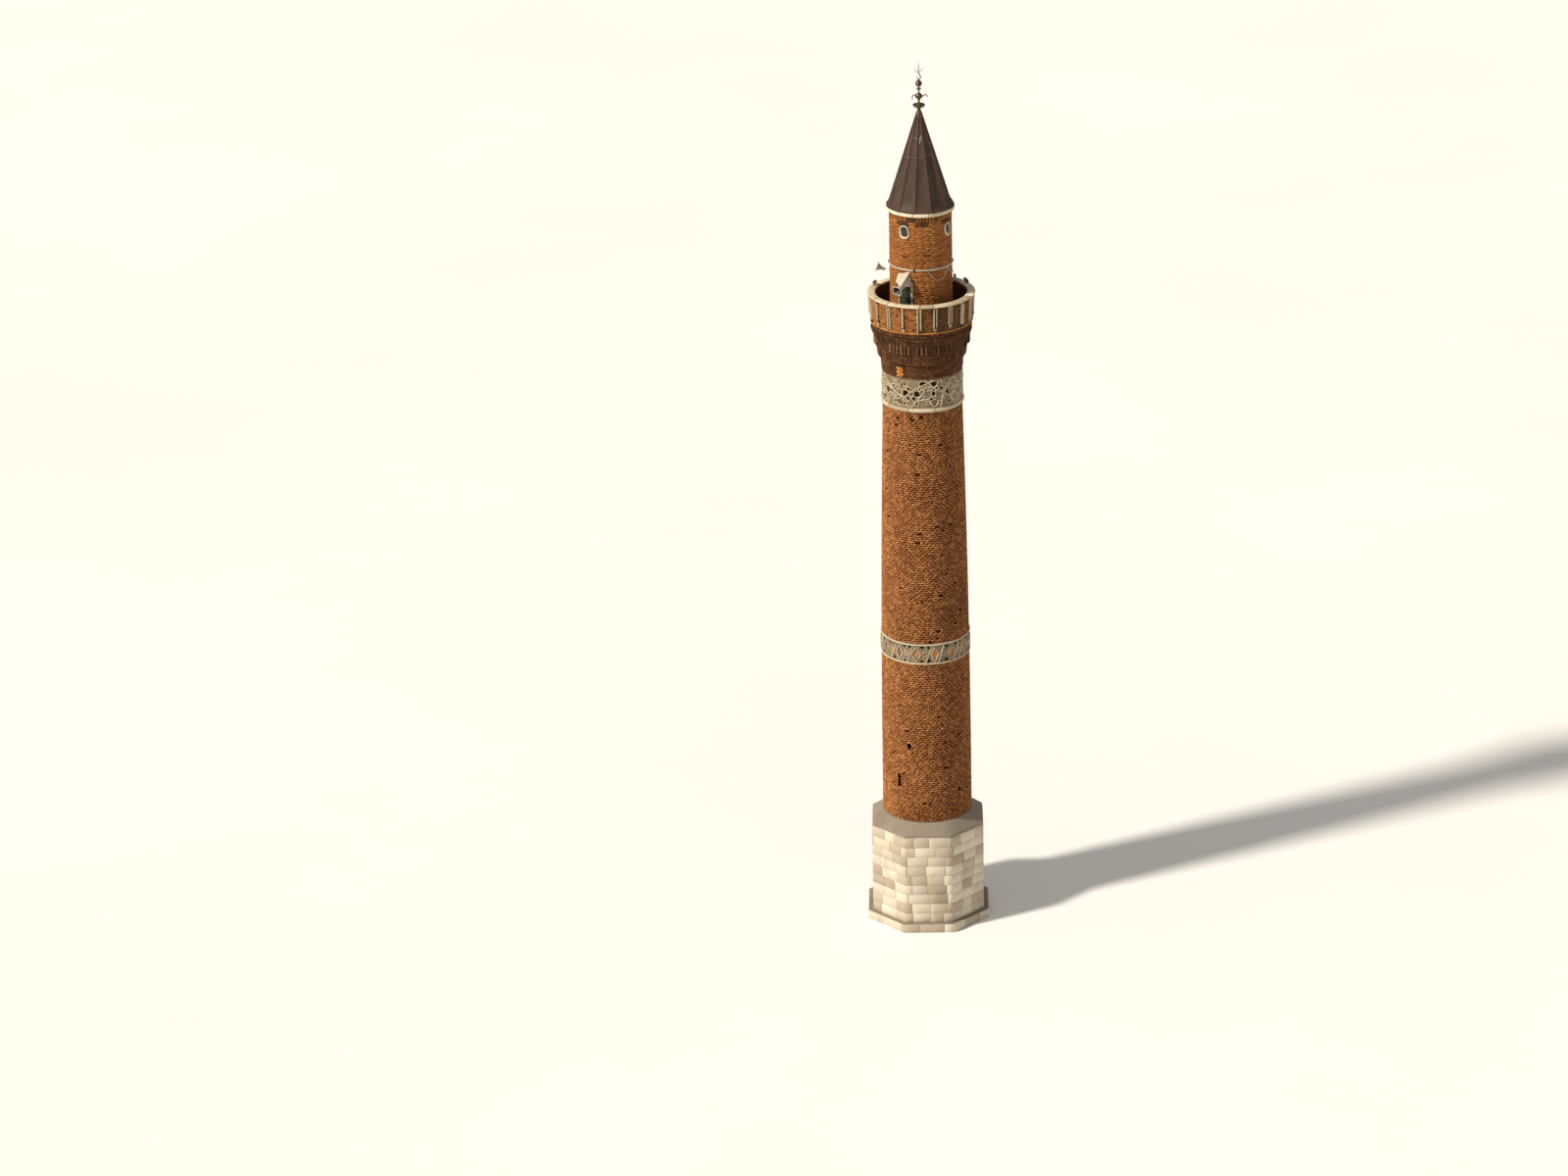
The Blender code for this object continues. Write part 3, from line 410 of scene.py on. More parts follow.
def carried(path, outline, outward=None, closed=False, tone=0.5, shares=None):
    """An outline of (across, out) points carried along a path; shares scales it at each point."""
    path = [Vector(point) for point in path]
    last = len(path) - 1
    points = []
    for k, centre in enumerate(path):
        before = path[k - 1] if k or closed else centre
        after = path[(k + 1) % len(path)] if k < last or closed else centre
        along = (after - before).normalized()
        guide = outward(centre) if outward else Vector((0.0, 0.0, 1.0))
        if abs(guide.dot(along)) > 0.95:
            guide = Vector((0.3, -1.0, 0.2))
        out = (guide - along * guide.dot(along)).normalized()
        across = along.cross(out)
        share = 1.0 if shares is None else shares[k]
        points += [centre + across * x * share + out * y * share for x, y in outline]
    count = len(outline)
    faces = skin(count, len(path), closed=closed)
    if not closed:
        faces += [tuple(range(count)), tuple(range(len(points) - count, len(points)))]
    return points, faces, tone


def round_outline(radius, sides=8):
    return [(radius * cos(tau * k / sides), radius * sin(tau * k / sides)) for k in range(sides)]


def strap_outline(width, proud):
    """The section of a raised strap: flat where it sits on the wall, with rounded shoulders."""
    half = width / 2
    right = [(half, -0.02), (half, proud * 0.5), (half * 0.6, proud)]
    return right + [(-across, out) for across, out in reversed(right)]


def from_axis(point):
    """The outward direction at a point of the wall."""
    return Vector((point.x, point.y, 0.0)).normalized()


def soft_box(width, depth, tall, ease, tone=0.5):
    """A box about the origin with eased edges."""
    draft = bmesh.new()
    bmesh.ops.create_cube(draft, size=1.0)
    bmesh.ops.scale(draft, vec=(width, depth, tall), verts=draft.verts)
    bmesh.ops.bevel(draft, geom=draft.edges[:], offset=ease, segments=2, affect="EDGES", profile=0.6)
    draft.verts.index_update()
    points = [vertex.co.copy() for vertex in draft.verts]
    faces = [tuple(vertex.index for vertex in face.verts) for face in draft.faces]
    draft.free()
    return points, faces, tone


def bolt_head(radius, tall, tone=0.5):
    """A six-sided bolt head with a chamfer, which points along Y."""
    rings = ((radius, 0.0), (radius, tall * 0.7), (radius * 0.75, tall))
    points = [(r * cos(tau * k / 6), out, r * sin(tau * k / 6)) for r, out in rings for k in range(6)]
    return points, skin(6, 3, inside_out=True) + [tuple(range(12, 18))], tone


print("a soft box has", len(soft_box(1, 1, 1, 0.1)[1]), "faces")

# %% [markdown]
# ## Laying bricks on a round wall
#
# The tower has well over ten thousand bricks. Placing each as an object would be slow, so one
# brick's corner points are kept as an array and copied to every place at once. Each point has
# three numbers: how far along the course it lies, how far up, and how far it stands out of the
# wall. The distance along is turned into an angle, so that a brick bends with the wall.

# %% Brick helpers
SHORTEST_BAT = 0.035
COURSE_DRIFT = 0.22
JOINT_SLIP = 0.03
LEVEL_SLIP = 0.0015
# Each ripple of a course: its share, its waves round the tower and how it turns with height.
RIPPLES = ((1.0, 3, 1.7), (0.8, 13, 3.1), (0.6, 23, -5.3))


def brick_shape(round_off=0.3, end_ease=0.04):
    """A brick of unit length, height and depth, without a back, with its outer edges eased."""
    rings = (
        (0.5, 0.5, 0.0),
        (0.5, 0.5, 1.0 - round_off),
        (0.5 - end_ease, 0.5 - round_off / 2, 1.0),
    )
    points = [(x * along, y * up, out) for along, up, out in rings for x, y in SQUARE]
    return np.array(points), skin(4, 3, inside_out=True) + [(8, 9, 10, 11)]


def lay_blocks(template, spots):
    """Copies a block to every spot: bearing, height, radius, length, tall, depth, lean, tone."""
    points, faces = template
    bearing, height, radius, length, tall, depth, lean, tone = np.asarray(spots, float).T[:, :, None]
    along = points[:, 0] * length
    up = points[:, 1] * tall
    angle = np.radians(bearing) + along / radius
    out = radius + points[:, 2] * depth
    risen = height + along * np.tan(lean) + up
    placed = np.stack([out * np.sin(angle), -out * np.cos(angle), risen], axis=-1).reshape(-1, 3)
    count = len(points)
    all_faces = [tuple(count * n + i for i in face) for n in range(len(spots)) for face in faces]
    return placed, all_faces, np.repeat(tone[:, 0], count)


def turn_between(first, second):
    """How far apart two bearings are, from -180 to 180 degrees."""
    return (first - second + 180) % 360 - 180


def clear_of(holes, bearing, height, radius, reach, rise):
    """Whether a block of this half length and half height lies outside every hole."""
    for hole_bearing, hole_height, width, tall in holes:
        aside = abs(radians(turn_between(bearing, hole_bearing))) * radius
        if aside < width / 2 + reach and abs(height - hole_height) < tall / 2 + rise:
            return False
    return True


def cut_to_fit(bearing, height, radius, length, tall, holes):
    """The parts of a brick that lie outside every hole, found by halving it twice."""
    if clear_of(holes, bearing, height, radius, length * 0.5, tall * 0.4):
        return [(bearing, length)]
    if length < SHORTEST_BAT:
        return []
    turn = degrees(length / 4 / radius)
    first = cut_to_fit(bearing - turn, height, radius, length / 2, tall, holes)
    return first + cut_to_fit(bearing + turn, height, radius, length / 2, tall, holes)


def lay_courses(foot, top, radius_at, course, pitch, brick, depth, holes=(), openings=(), wave=0.007,
                missing=0.0, rough=0.14, lean=1.3, stagger=0.5, pair_lean=0.0):
    """Spots for courses round the whole tower: holes drop whole bricks, and openings cut them."""
    length, tall = brick
    count = 2 * round(tau * radius_at((foot + top) / 2) / pitch / 2)
    rows = round((top - foot) / course)
    spots = []
    for row in range(rows):
        base = foot + (top - foot) * (row + 0.5) / rows
        radius = radius_at(base) - depth
        drift = random.normal(0, COURSE_DRIFT)
        for k in range(count):
            bearing = (k + stagger * (row % 2) + drift + random.normal(0, JOINT_SLIP)) * 360 / count
            sway = wave * sum(
                share * sin(radians(waves * bearing) + base * turn) for share, waves, turn in RIPPLES
            )
            level = base + sway + random.normal(0, LEVEL_SLIP)
            height = min(max(level, foot + tall / 2), top - tall / 2)
            gone = random.random() < missing
            if gone or not clear_of(holes, bearing, height, radius, length * 0.5, tall * 0.4):
                continue
            tilt = random.normal(0, lean) + pair_lean * (-1) ** (k + row)
            size = length * random.uniform(0.94, 1.05)
            for place, part in cut_to_fit(bearing, height, radius, size, tall, openings):
                spots.append((
                    place, height, radius, part, tall * random.uniform(0.94, 1.03),
                    depth * random.uniform(1 - rough, 1.0), radians(tilt), random.random(),
                ))
    return spots


def add_bricks(name, spots, finish, round_off=0.3, end_ease=0.04):
    """One piece of bricks that share a shape."""
    bricks = lay_blocks(brick_shape(round_off, end_ease), spots)
    return add_piece(name, [bricks], finish, tidy_normals=False)


def set_back(name, nodes, finish, depth, beyond):
    """Copies solid walls with the faces beyond a radius set back, as the bed behind the bricks."""
    draft = bmesh.new()
    for node in nodes:
        draft.from_mesh(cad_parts[node].data)
    bmesh.ops.remove_doubles(draft, verts=draft.verts, dist=0.0001)
    for vertex in draft.verts:
        radius = hypot(vertex.co.x, vertex.co.y)
        if radius > beyond:
            vertex.co.x *= (radius - depth) / radius
            vertex.co.y *= (radius - depth) / radius
    draft.verts.index_update()
    points = [vertex.co.copy() for vertex in draft.verts]
    faces = [tuple(vertex.index for vertex in face.verts) for face in draft.faces]
    draft.free()
    return add_piece(name, [(points, faces, 0.5)], finish, nodes, sharp=30, tidy_normals=False)


print("a brick has", len(brick_shape()[0]), "points")

# %% [markdown]
# ## The brick shaft
#
# The bricks of a course lean in pairs, like the two slopes of a low roof, and the next course
# turns the pairs over. So the courses touch where the peaks meet and leave a small dark pocket
# where they part, and from afar the wall looks knitted. The courses also rise and fall a little,
# as hand-laid ones do. A few bricks are missing where scaffold poles once stood. The wall behind
# is the solid model's own wall with its face set back, so the slits that light the stair stay open.

# %% Brick shaft
COURSE = 0.092
BRICK_PITCH = 0.0965
BRICK = (0.0955, 0.058)
PAIR_LEAN = 17.0
JOINT_DEPTH = 0.055
SIDES = ("front", "right", "back", "left")
SHAFT_FOOT_RADIUS = 1.76
SHAFT_DRAW_IN = 0.22
SHAFT_FOOT = 4.50
SHAFT_DRAW_HEIGHT = 17.0
SHAFT_STAGES = {"lower_shaft": (4.50, 11.23), "upper_shaft": (12.07, 21.56)}
# Each slit: its bearing, the height of its middle, its width and how tall it is.
SLITS = (
    (-39.0, 6.16, 0.12, 0.50),
    (-23.6, 7.70, 0.14, 0.20),
    (141.0, 9.30, 0.12, 0.50),
    (172.0, 14.60, 0.12, 0.50),
    (207.0, 19.20, 0.12, 0.50),
)
POLE_HOLE = (0.09, 0.05)
POLE_HOLES = [(-5.0, 16.67), (-9.0, 19.02), (-14.0, 21.27), (-2.0, 21.36), (17.0, 12.6), (39.0, 16.9),
              (-33.0, 14.3)]
ODD_POLE_HOLES = 46
BRICK_TONES = ((0.20, 0.070, 0.021), (0.276, 0.107, 0.032), (0.347, 0.143, 0.046), (0.48, 0.228, 0.088))


def shaft_radius(height):
    """The shaft draws in a little toward the top, in a gentle curve."""
    return SHAFT_FOOT_RADIUS - SHAFT_DRAW_IN * ((height - SHAFT_FOOT) / SHAFT_DRAW_HEIGHT) ** 2


brick_finish = masonry_finish("orange_brick_face", BRICK_TONES, (0.62, 0.50, 0.42), stain_share=0.6,
                              stain_size=1.3)
# The bed is near black: partly the dark colour of the joints, partly painted shade of the deep pockets
# between the bricks.
bed_finish = masonry_finish("brick_bed", ((0.016, 0.005, 0.002), (0.030, 0.010, 0.004)), BED_STAIN)
random_holes = [(random.uniform(-180, 180), random.uniform(5.0, 21.3)) for turn in range(ODD_POLE_HOLES)]
pole_holes = [(*hole, *POLE_HOLE) for hole in (*POLE_HOLES, *random_holes)]
for stage, (foot, top) in SHAFT_STAGES.items():
    nodes = [f"{stage}_{side}" for side in SIDES]
    set_back(f"{stage}_bed", nodes, bed_finish, JOINT_DEPTH, beyond=1.3)
    spots = lay_courses(foot + 0.002, top - 0.002, shaft_radius, COURSE, BRICK_PITCH, BRICK, JOINT_DEPTH,
                        holes=pole_holes, openings=SLITS, missing=0.003, wave=0.011, rough=0.20, lean=3.5,
                        stagger=0.0, pair_lean=PAIR_LEAN)
    for k, side in enumerate(SIDES):
        quarter = [spot for spot in spots if -45 <= turn_between(spot[0], 90 * k) < 45]
        add_bricks(f"{stage}_bricks_{side}", quarter, brick_finish, 0.46, 0.03)

# %% [markdown]
# ## Cutting a pattern into a curved sheet
#
# Both bands are pale plaster with shapes cut out of it. The sheet is drawn flat, as if it were
# unrolled from the tower, the outlines of the holes are drawn on it, and a triangulation that
# keeps those outlines as edges fills the rest. Then the flat drawing is rolled round the tower.
# A Boolean cut for every hole would be slower and would leave long thin faces.

# %% Pattern helpers
SHEET_STEP = 0.11
STRAP_STEP = 0.22


def rolled(point, radius, base_radius):
    """Rolls a point of the flat drawing, (along, height), round the tower at this radius."""
    return on_wall(radius, degrees(point[0] / base_radius) - 180, point[1])


def signed_area(outline):
    """Positive where an outline runs anticlockwise, as the triangulation expects."""
    return sum(a[0] * b[1] - a[1] * b[0] for a, b in zip(outline, [*outline[1:], outline[0]])) / 2


def cut_sheet(radius, depth, low, high, holes):
    """A curved sheet with holes; each hole has side walls that reach down to the bed."""
    girth = tau * radius
    across = round(girth / SHEET_STEP)
    up = max(2, round((high - low) / SHEET_STEP))
    marks = [
        Vector((girth * i / across, low + (high - low) * j / up))
        for i in range(across + 1)
        for j in range(up + 1)
    ]
    outlines = []
    holes = [hole if signed_area(hole) > 0 else hole[::-1] for hole in holes]
    for hole in holes:
        outlines.append(list(range(len(marks), len(marks) + len(hole))))
        marks += [Vector(point) for point in hole]
    flat, _, triangles, _, _, origins = delaunay_2d_cdt(marks, [], outlines, 0, 1e-5)
    points = [rolled(point, radius, radius) for point in flat]
    faces = [tuple(face) for face, origin in zip(triangles, origins) if not origin]
    for hole in holes:
        start = len(points)
        count = len(hole)
        points += [rolled(point, radius, radius) for point in hole]
        points += [rolled(point, radius - depth, radius) for point in hole]
        faces += skin(count, 2, start, inside_out=True)
    return points, faces, 0.5


def inset(outline, distance):
    """Draws an outline in toward its middle, so that its sides move by this distance."""
    middle = sum((Vector(point) for point in outline), Vector((0, 0))) / len(outline)
    sides = [(Vector(outline[k]) + Vector(outline[k - 1])) / 2 for k in range(len(outline))]
    reach = sum((side - middle).length for side in sides) / len(sides)
    share = max(0.25, 1 - distance / reach)
    return [middle + (Vector(point) - middle) * share for point in outline]


def rounded(outline, share=0.22):
    """Rounds the corners of an outline."""
    points = []
    for k, corner in enumerate(outline):
        before, after = Vector(outline[k - 1]), Vector(outline[(k + 1) % len(outline)])
        corner = Vector(corner)
        points += [corner.lerp(before, share), corner.lerp(after, share)]
    return points


def tile(outline, radius, base_radius, dome=0.010, tone=0.5):
    """A slightly domed tile that fills an outline on the wall."""
    rims = ((outline, radius - 0.03), (outline, radius), (inset(outline, 0.02), radius + dome))
    points = [rolled(point, r, base_radius) for rim, r in rims for point in rim]
    count = len(outline)
    return points, skin(count, 3, inside_out=True) + [tuple(range(2 * count, 3 * count))], tone


def strap(path, radius, base_radius, width, proud, tone=0.5, closed=False):
    """A raised strap along a path of the flat drawing, bent with the wall."""
    steps = []
    for k in range(len(path) if closed else len(path) - 1):
        start, end = Vector(path[k]), Vector(path[(k + 1) % len(path)])
        parts = max(1, round((end - start).length / STRAP_STEP))
        steps += [start.lerp(end, j / parts) for j in range(parts)]
    if not closed:
        steps.append(Vector(path[-1]))
    wall = [rolled(point, radius, base_radius) for point in steps]
    return carried(wall, strap_outline(width, proud), from_axis, closed, tone)


PLASTER_TONES = ((0.155, 0.118, 0.070), (0.20, 0.158, 0.10), (0.26, 0.207, 0.135))
STRAP_TONES = ((0.34, 0.28, 0.185), (0.44, 0.37, 0.26), (0.55, 0.48, 0.35))
TILE_TONES = ((0.16, 0.075, 0.060), (0.25, 0.115, 0.070), (0.30, 0.19, 0.15), (0.55, 0.20, 0.045))
plaster_finish = masonry_finish("pale_plaster", PLASTER_TONES, (0.52, 0.46, 0.38), 0.05, 0.012,
                                stain_size=0.35)
strap_finish = masonry_finish("carved_strap", STRAP_TONES, (0.60, 0.53, 0.43), 0.02, 0.004, stain_size=0.3)
tile_finish = masonry_finish("clay_tile", TILE_TONES, (0.7, 0.65, 0.6), 0.02, 0.006, stain_size=0.2,
                             rough=0.7)
# Painted shade: a near-black finish that stands for the shade inside open cells, niches, grooves and
# recesses; the small pilaster fittings use it too.
hollow_shade_finish = masonry_finish("dark_hollow_painted_shade", ((0.035, 0.022, 0.012), (0.055, 0.035, 0.018)), BED_STAIN)
print("plaster, strap and tile finishes are ready")

# %% [markdown]
# ## The upper band
#
# The upper band is a net of raised straps over pale plaster. The net follows an old tiling rule:
# hexagons, with a square on each of their sides and a triangle at each of their corners. Here its
# corners are moved a little by chance, since the real net is worn and uneven. Some cells are open
# and dark, a few hold a brown or orange tile, and most are plain. Longer and heavier straps run
# across the net.

# %% Upper band
BAND_LOW = 21.73
BAND_HIGH = 22.90
BAND_RADIUS = 1.53
BAND_DEPTH = 0.10
NET_SIDE = 0.158
NET_STRAP = 0.036
NET_PROUD = 0.030
LONG_STRAP = 0.052
LONG_PROUD = 0.045
BAND_EDGE = 0.05
BAND_GIRTH = tau * BAND_RADIUS
LONG_STRAPS = (
    ((-68, 22.86), (-52, 22.47), (-28, 22.13), (-20, 21.76)),
    ((-28, 22.13), (-10, 22.52), (6, 22.72), (1, 22.34), (-7, 22.06), (-16, 21.76)),
    ((-7, 22.06), (9, 22.12), (16, 21.78)),
    ((27, 21.76), (30, 22.30), (44, 22.84)),
    ((-46, 22.86), (-34, 22.62), (-28, 22.13)),
)
LONG_REPEATS = 5
OPEN_LEAST = 0.22
OPEN_MORE_LEFT = 0.42
OPEN_MORE_BELOW = 0.25
LOW_ROWS = 0.3
TILED_SHARE = 0.22
PLAIN_RIMS = 0.35


def net_cells(girth, low, high, side, shake):
    """Hexagons, squares and triangles of the tiling, as lists of (along, height) points."""
    columns = round(girth / (side * (1 + sqrt(3))))
    width = girth / columns
    side = width / (1 + sqrt(3))
    row_height = width * sqrt(3) / 2
    corners = {}

    def corner(x, z):
        key = (round(x / side * 3), round(z / side * 3))
        if key not in corners:
            corners[key] = Vector((x, z)) + Vector(random.normal(0, shake, 2))
        return corners[key]

    def ring(x, z, reach, count, start):
        turns = [start + tau * k / count for k in range(count)]
        return [corner(x + reach * cos(turn), z + reach * sin(turn)) for turn in turns]

    cells = []
    rows = round((high - low) / row_height) + 2
    middle = (low + high) / 2
    for row in range(-rows, rows + 1):
        for column in range(1, columns - 1):
            x = (column + 0.5 + 0.5 * (row % 2)) * width
            z = middle + row * row_height
            cells.append(("hexagon", ring(x, z, side, 6, pi / 6)))
            for turn in (0, pi / 3, tau / 3):
                step = width / 2
                centre_x, centre_z = x + step * cos(turn), z + step * sin(turn)
                cells.append(("square", ring(centre_x, centre_z, side / sqrt(2), 4, turn + pi / 4)))
            for turn in (pi / 6, pi / 2):
                step = width / sqrt(3)
                centre_x, centre_z = x + step * cos(turn), z + step * sin(turn)
                cells.append(("triangle", ring(centre_x, centre_z, side / sqrt(3), 3, turn + pi)))
    inside = [
        (kind, cell)
        for kind, cell in cells
        if all(low + BAND_EDGE < p.y < high - BAND_EDGE and 0.2 < p.x < girth - 0.2 for p in cell)
    ]
    return inside


def openness(along, height):
    """The share of open cells: high on the left and low on the right, where plaster fills them."""
    bearing = degrees(along / BAND_RADIUS) - 180
    below = OPEN_MORE_BELOW if height < BAND_LOW + LOW_ROWS else 0.0
    return OPEN_LEAST + OPEN_MORE_LEFT * (0.5 - 0.5 * sin(radians(bearing))) + below


cells = net_cells(BAND_GIRTH, BAND_LOW, BAND_HIGH, NET_SIDE, 0.022)
open_cells, tiles, straps, edges = [], [], [], set()
for kind, cell in cells:
    middle = sum(cell, Vector((0, 0))) / len(cell)
    shape = rounded(inset(cell, NET_STRAP * 0.45))
    chance = random.random()
    share = openness(*middle)
    if chance < share:
        open_cells.append(shape)
        if chance < share * TILED_SHARE:
            tiles.append(tile(inset(shape, 0.008), BAND_RADIUS - 0.035, BAND_RADIUS, tone=random.random()))
    if kind == "hexagon" or chance < share or random.random() < PLAIN_RIMS:
        for k in range(len(cell)):
            edges.add(tuple(sorted(((cell[k - 1].x, cell[k - 1].y), (cell[k].x, cell[k].y)))))
for start, end in sorted(edges):
    width = NET_STRAP * random.uniform(0.75, 1.15)
    straps.append(strap((start, end), BAND_RADIUS, BAND_RADIUS, width, NET_PROUD, random.random()))
for repeat in range(LONG_REPEATS):
    for line in LONG_STRAPS:
        path = [
            (radians((bearing + 360 / LONG_REPEATS * repeat + 180) % 360) * BAND_RADIUS, height)
            for bearing, height in line
        ]
        if max(p[0] for p in path) - min(p[0] for p in path) < BAND_GIRTH / 2:
            straps.append(strap(path, BAND_RADIUS, BAND_RADIUS, LONG_STRAP, LONG_PROUD, random.random()))
add_piece("upper_band_plaster", [cut_sheet(BAND_RADIUS, BAND_DEPTH, BAND_LOW, BAND_HIGH, open_cells)],
          plaster_finish, sharp=35)
add_piece("upper_band_straps", straps, strap_finish, sharp=50)
add_piece("upper_band_tiles", tiles, tile_finish, sharp=50)
# Painted shade: the near-black bed shows through the open cells.
set_back("upper_band_bed", ["upper_lattice_band"], hollow_shade_finish, BAND_DEPTH, beyond=1.3)
print(len(open_cells), "open cells,", len(edges), "net straps")

# %% [markdown]
# ## The ring under the upper band
#
# A half-round moulding carries the band. It is cut from stones about a metre long, each turned
# from the same profile, and their joints show as dark lines because their ends are eased.

# %% Ring moulding
RING_LOW = 21.562
RING_HIGH = 21.728
RING_OUTER = 1.612
RING_INNER = 1.42
RING_STONES = 11


def half_round(inner, outer, low, high, flat=0.0, steps=6):
    """A closed profile with a half-round nose between two heights."""
    middle = (low + high) / 2
    half = (high - low) / 2
    nose = outer - half * (1 - flat)
    arc = [
        (nose + (outer - nose) * cos(pi / 2 - pi * k / steps), middle + half * sin(pi / 2 - pi * k / steps))
        for k in range(steps + 1)
    ]
    return [(inner, high), *arc, (inner, low)]


def ring_of_stones(name, profile, count, start, finish, replaces, uneven=0.25, gap=0.25,
                   shift=0.004, gaps=()):
    """A ring cut into stones of uneven length, each moved by a hair and with its own tone."""
    joints = sorted(start + (k + random.uniform(-uneven, uneven)) * 360 / count for k in range(count))
    joints.append(joints[0] + 360)
    stones = []
    for here, there in zip(joints, joints[1:]):
        push, lift = random.uniform(-2 * shift, 0), random.uniform(-shift, 0)
        moved_profile = [(r + push, z + lift) for r, z in profile]
        extra = [width for bearing, width in gaps if abs(turn_between(here, bearing)) < 180 / count]
        before = gap + (extra[0] if extra else 0.0)
        stones.append(ring_stone(moved_profile, here + before, there - gap, tone=random.random()))
    return add_piece(name, stones, finish, replaces, sharp=40)


ring_of_stones("band_ring_stones", half_round(RING_INNER, RING_OUTER, RING_LOW, RING_HIGH), RING_STONES, -21,
               strap_finish, ["band_ring_moulding"])

# %% [markdown]
# ## The lower band
#
# The lower band is narrower. Upright diamonds follow each other round it, each with a tile, and
# round bosses, triangles and slanting straps fill the room between them. A thin border line runs
# along its top and its foot.

# %% Lower band
LOW_BAND_FOOT = SHAFT_STAGES["lower_shaft"][1]
LOW_BAND_TOP = SHAFT_STAGES["upper_shaft"][0]
LOW_BAND_RADIUS = 1.722
LOW_BAND_DEPTH = 0.09
LOW_UNITS = 15
LOW_GIRTH = tau * LOW_BAND_RADIUS
BORDER = 0.055
DIAMOND = ((0.50, 0.14), (0.73, 0.50), (0.50, 0.84), (0.27, 0.50))
TOP_HOLES = (((0.02, 0.90), (0.36, 0.90), (0.17, 0.70)), ((0.62, 0.90), (0.97, 0.90), (0.86, 0.72)))
FOOT_HOLES = (((0.02, 0.10), (0.30, 0.10), (0.24, 0.27), (0.08, 0.27)),
              ((0.66, 0.10), (0.92, 0.10), (0.80, 0.26)))
SLANTS = (((0.02, 0.10), (0.30, 0.92)), ((0.72, 0.10), (0.98, 0.92)))
BOSS_PLACE = (0.0, 0.52)
BOSS_RADIUS = 0.085
BOSS_SIDES = 10
HOLE_SHARE = 0.85
SLANT_SHARE = 0.6
# Each strap of the lower band: its width and how far it stands out.
DIAMOND_STRAP = (0.055, 0.035)
SLANT_STRAP = (0.05, 0.03)
BOSS_STRAP = (0.04, 0.035)

unit = LOW_GIRTH / LOW_UNITS
rise = LOW_BAND_TOP - LOW_BAND_FOOT


def in_unit(number, point, shake=0.02):
    """A point of one repeat of the pattern, moved a little by chance."""
    along = (number + 0.5 + point[0]) * unit + random.normal(0, shake)
    height = LOW_BAND_FOOT + point[1] * rise + random.normal(0, shake * 0.4)
    return Vector((along, min(max(height, LOW_BAND_FOOT + BORDER), LOW_BAND_TOP - BORDER)))


holes, tiles, straps = [], [], []
for number in range(LOW_UNITS - 1):
    diamond = [in_unit(number, point) for point in DIAMOND]
    straps.append(strap(diamond, LOW_BAND_RADIUS, LOW_BAND_RADIUS, *DIAMOND_STRAP, random.random(),
                        closed=True))
    fill = inset(diamond, 0.03)
    holes.append(fill)
    tiles.append(tile(inset(fill, 0.006), LOW_BAND_RADIUS - 0.03, LOW_BAND_RADIUS, tone=random.random()))
    for outline in TOP_HOLES + FOOT_HOLES:
        if random.random() < HOLE_SHARE:
            holes.append(rounded([in_unit(number, point, 0.012) for point in outline]))
    for line in SLANTS:
        if random.random() < SLANT_SHARE:
            path = [in_unit(number, point) for point in line]
            straps.append(strap(path, LOW_BAND_RADIUS, LOW_BAND_RADIUS, *SLANT_STRAP, random.random()))
    if number:
        middle = in_unit(number, BOSS_PLACE)
        boss = [middle + Vector(point) for point in round_outline(BOSS_RADIUS, BOSS_SIDES)]
        straps.append(strap(boss, LOW_BAND_RADIUS, LOW_BAND_RADIUS, *BOSS_STRAP, random.random(),
                            closed=True))
        tiles.append(tile(inset(boss, 0.045), LOW_BAND_RADIUS, LOW_BAND_RADIUS, tone=random.random()))
add_piece("lower_band_plaster",
          [cut_sheet(LOW_BAND_RADIUS, LOW_BAND_DEPTH, LOW_BAND_FOOT, LOW_BAND_TOP, holes)],
          plaster_finish, sharp=35)
for height in (LOW_BAND_FOOT + BORDER / 2, LOW_BAND_TOP - BORDER / 2):
    border = [on_wall(LOW_BAND_RADIUS, 5 * k, height) for k in range(72)]
    straps.append(carried(border, strap_outline(BORDER, 0.028), from_axis, closed=True, tone=0.8))
add_piece("lower_band_straps", straps, strap_finish, sharp=50)
add_piece("lower_band_tiles", tiles, tile_finish, sharp=50)
# Painted shade: the near-black bed shows through the holes of the lower band.
set_back("lower_band_bed", ["lower_inscription_band"], hollow_shade_finish, LOW_BAND_DEPTH,
         beyond=1.3)
print(len(holes), "holes in the lower band")

# %% [markdown]
# ## The corbelling
#
# The balcony rests on three tiers that step outward, each of dark brick on a set-back bed. The
# two lower ones are nearly plain, with thin joints. The upper one flares, and carries a row of
# small upright blocks with a row of little arches over it. A thin rounded course closes the two
# lower tiers, because bricks that jut out need one that ties them.

# %% Corbel courses
CORBEL_DEPTH = 0.016
# Each tier: its foot and top, its radius at both, and 1 for a straight slope or more for a flare.
LOWER_TIER = (22.90, 23.50, 1.555, 1.600, 1.0)
MIDDLE_TIER = (23.50, 23.95, 1.700, 1.750, 1.0)
UPPER_TIER = (23.95, 24.66, 1.790, 1.945, 1.7)
LIP = 0.05
LIPS_PROUD = {LOWER_TIER: 0.024, MIDDLE_TIER: 0.024}
BLOCKS_TOP = 24.34
SHADED = 0.4
LIP_BRICKS = 48
LIP_TURN = 360 / LIP_BRICKS
LIP_GAP = 0.08
CORBEL_STREAK = [(-25.0, 23.30, 0.055, 0.85), (-34.0, 23.15, 0.34, 0.42), (-46.5, 23.16, 0.06, 0.34)]
CORBEL_CHIPS = [(11.0, 23.42, 0.12, 0.07), (33.0, 23.70, 0.05, 0.30), (41.0, 23.66, 0.05, 0.30),
                (98.0, 23.15, 0.30, 0.36), (150.0, 23.62, 0.06, 0.24), (203.0, 23.15, 0.32, 0.40)]
DARK_TONES = ((0.055, 0.0205, 0.0065), (0.070, 0.027, 0.009), (0.090, 0.036, 0.012), (0.127, 0.054, 0.0195))
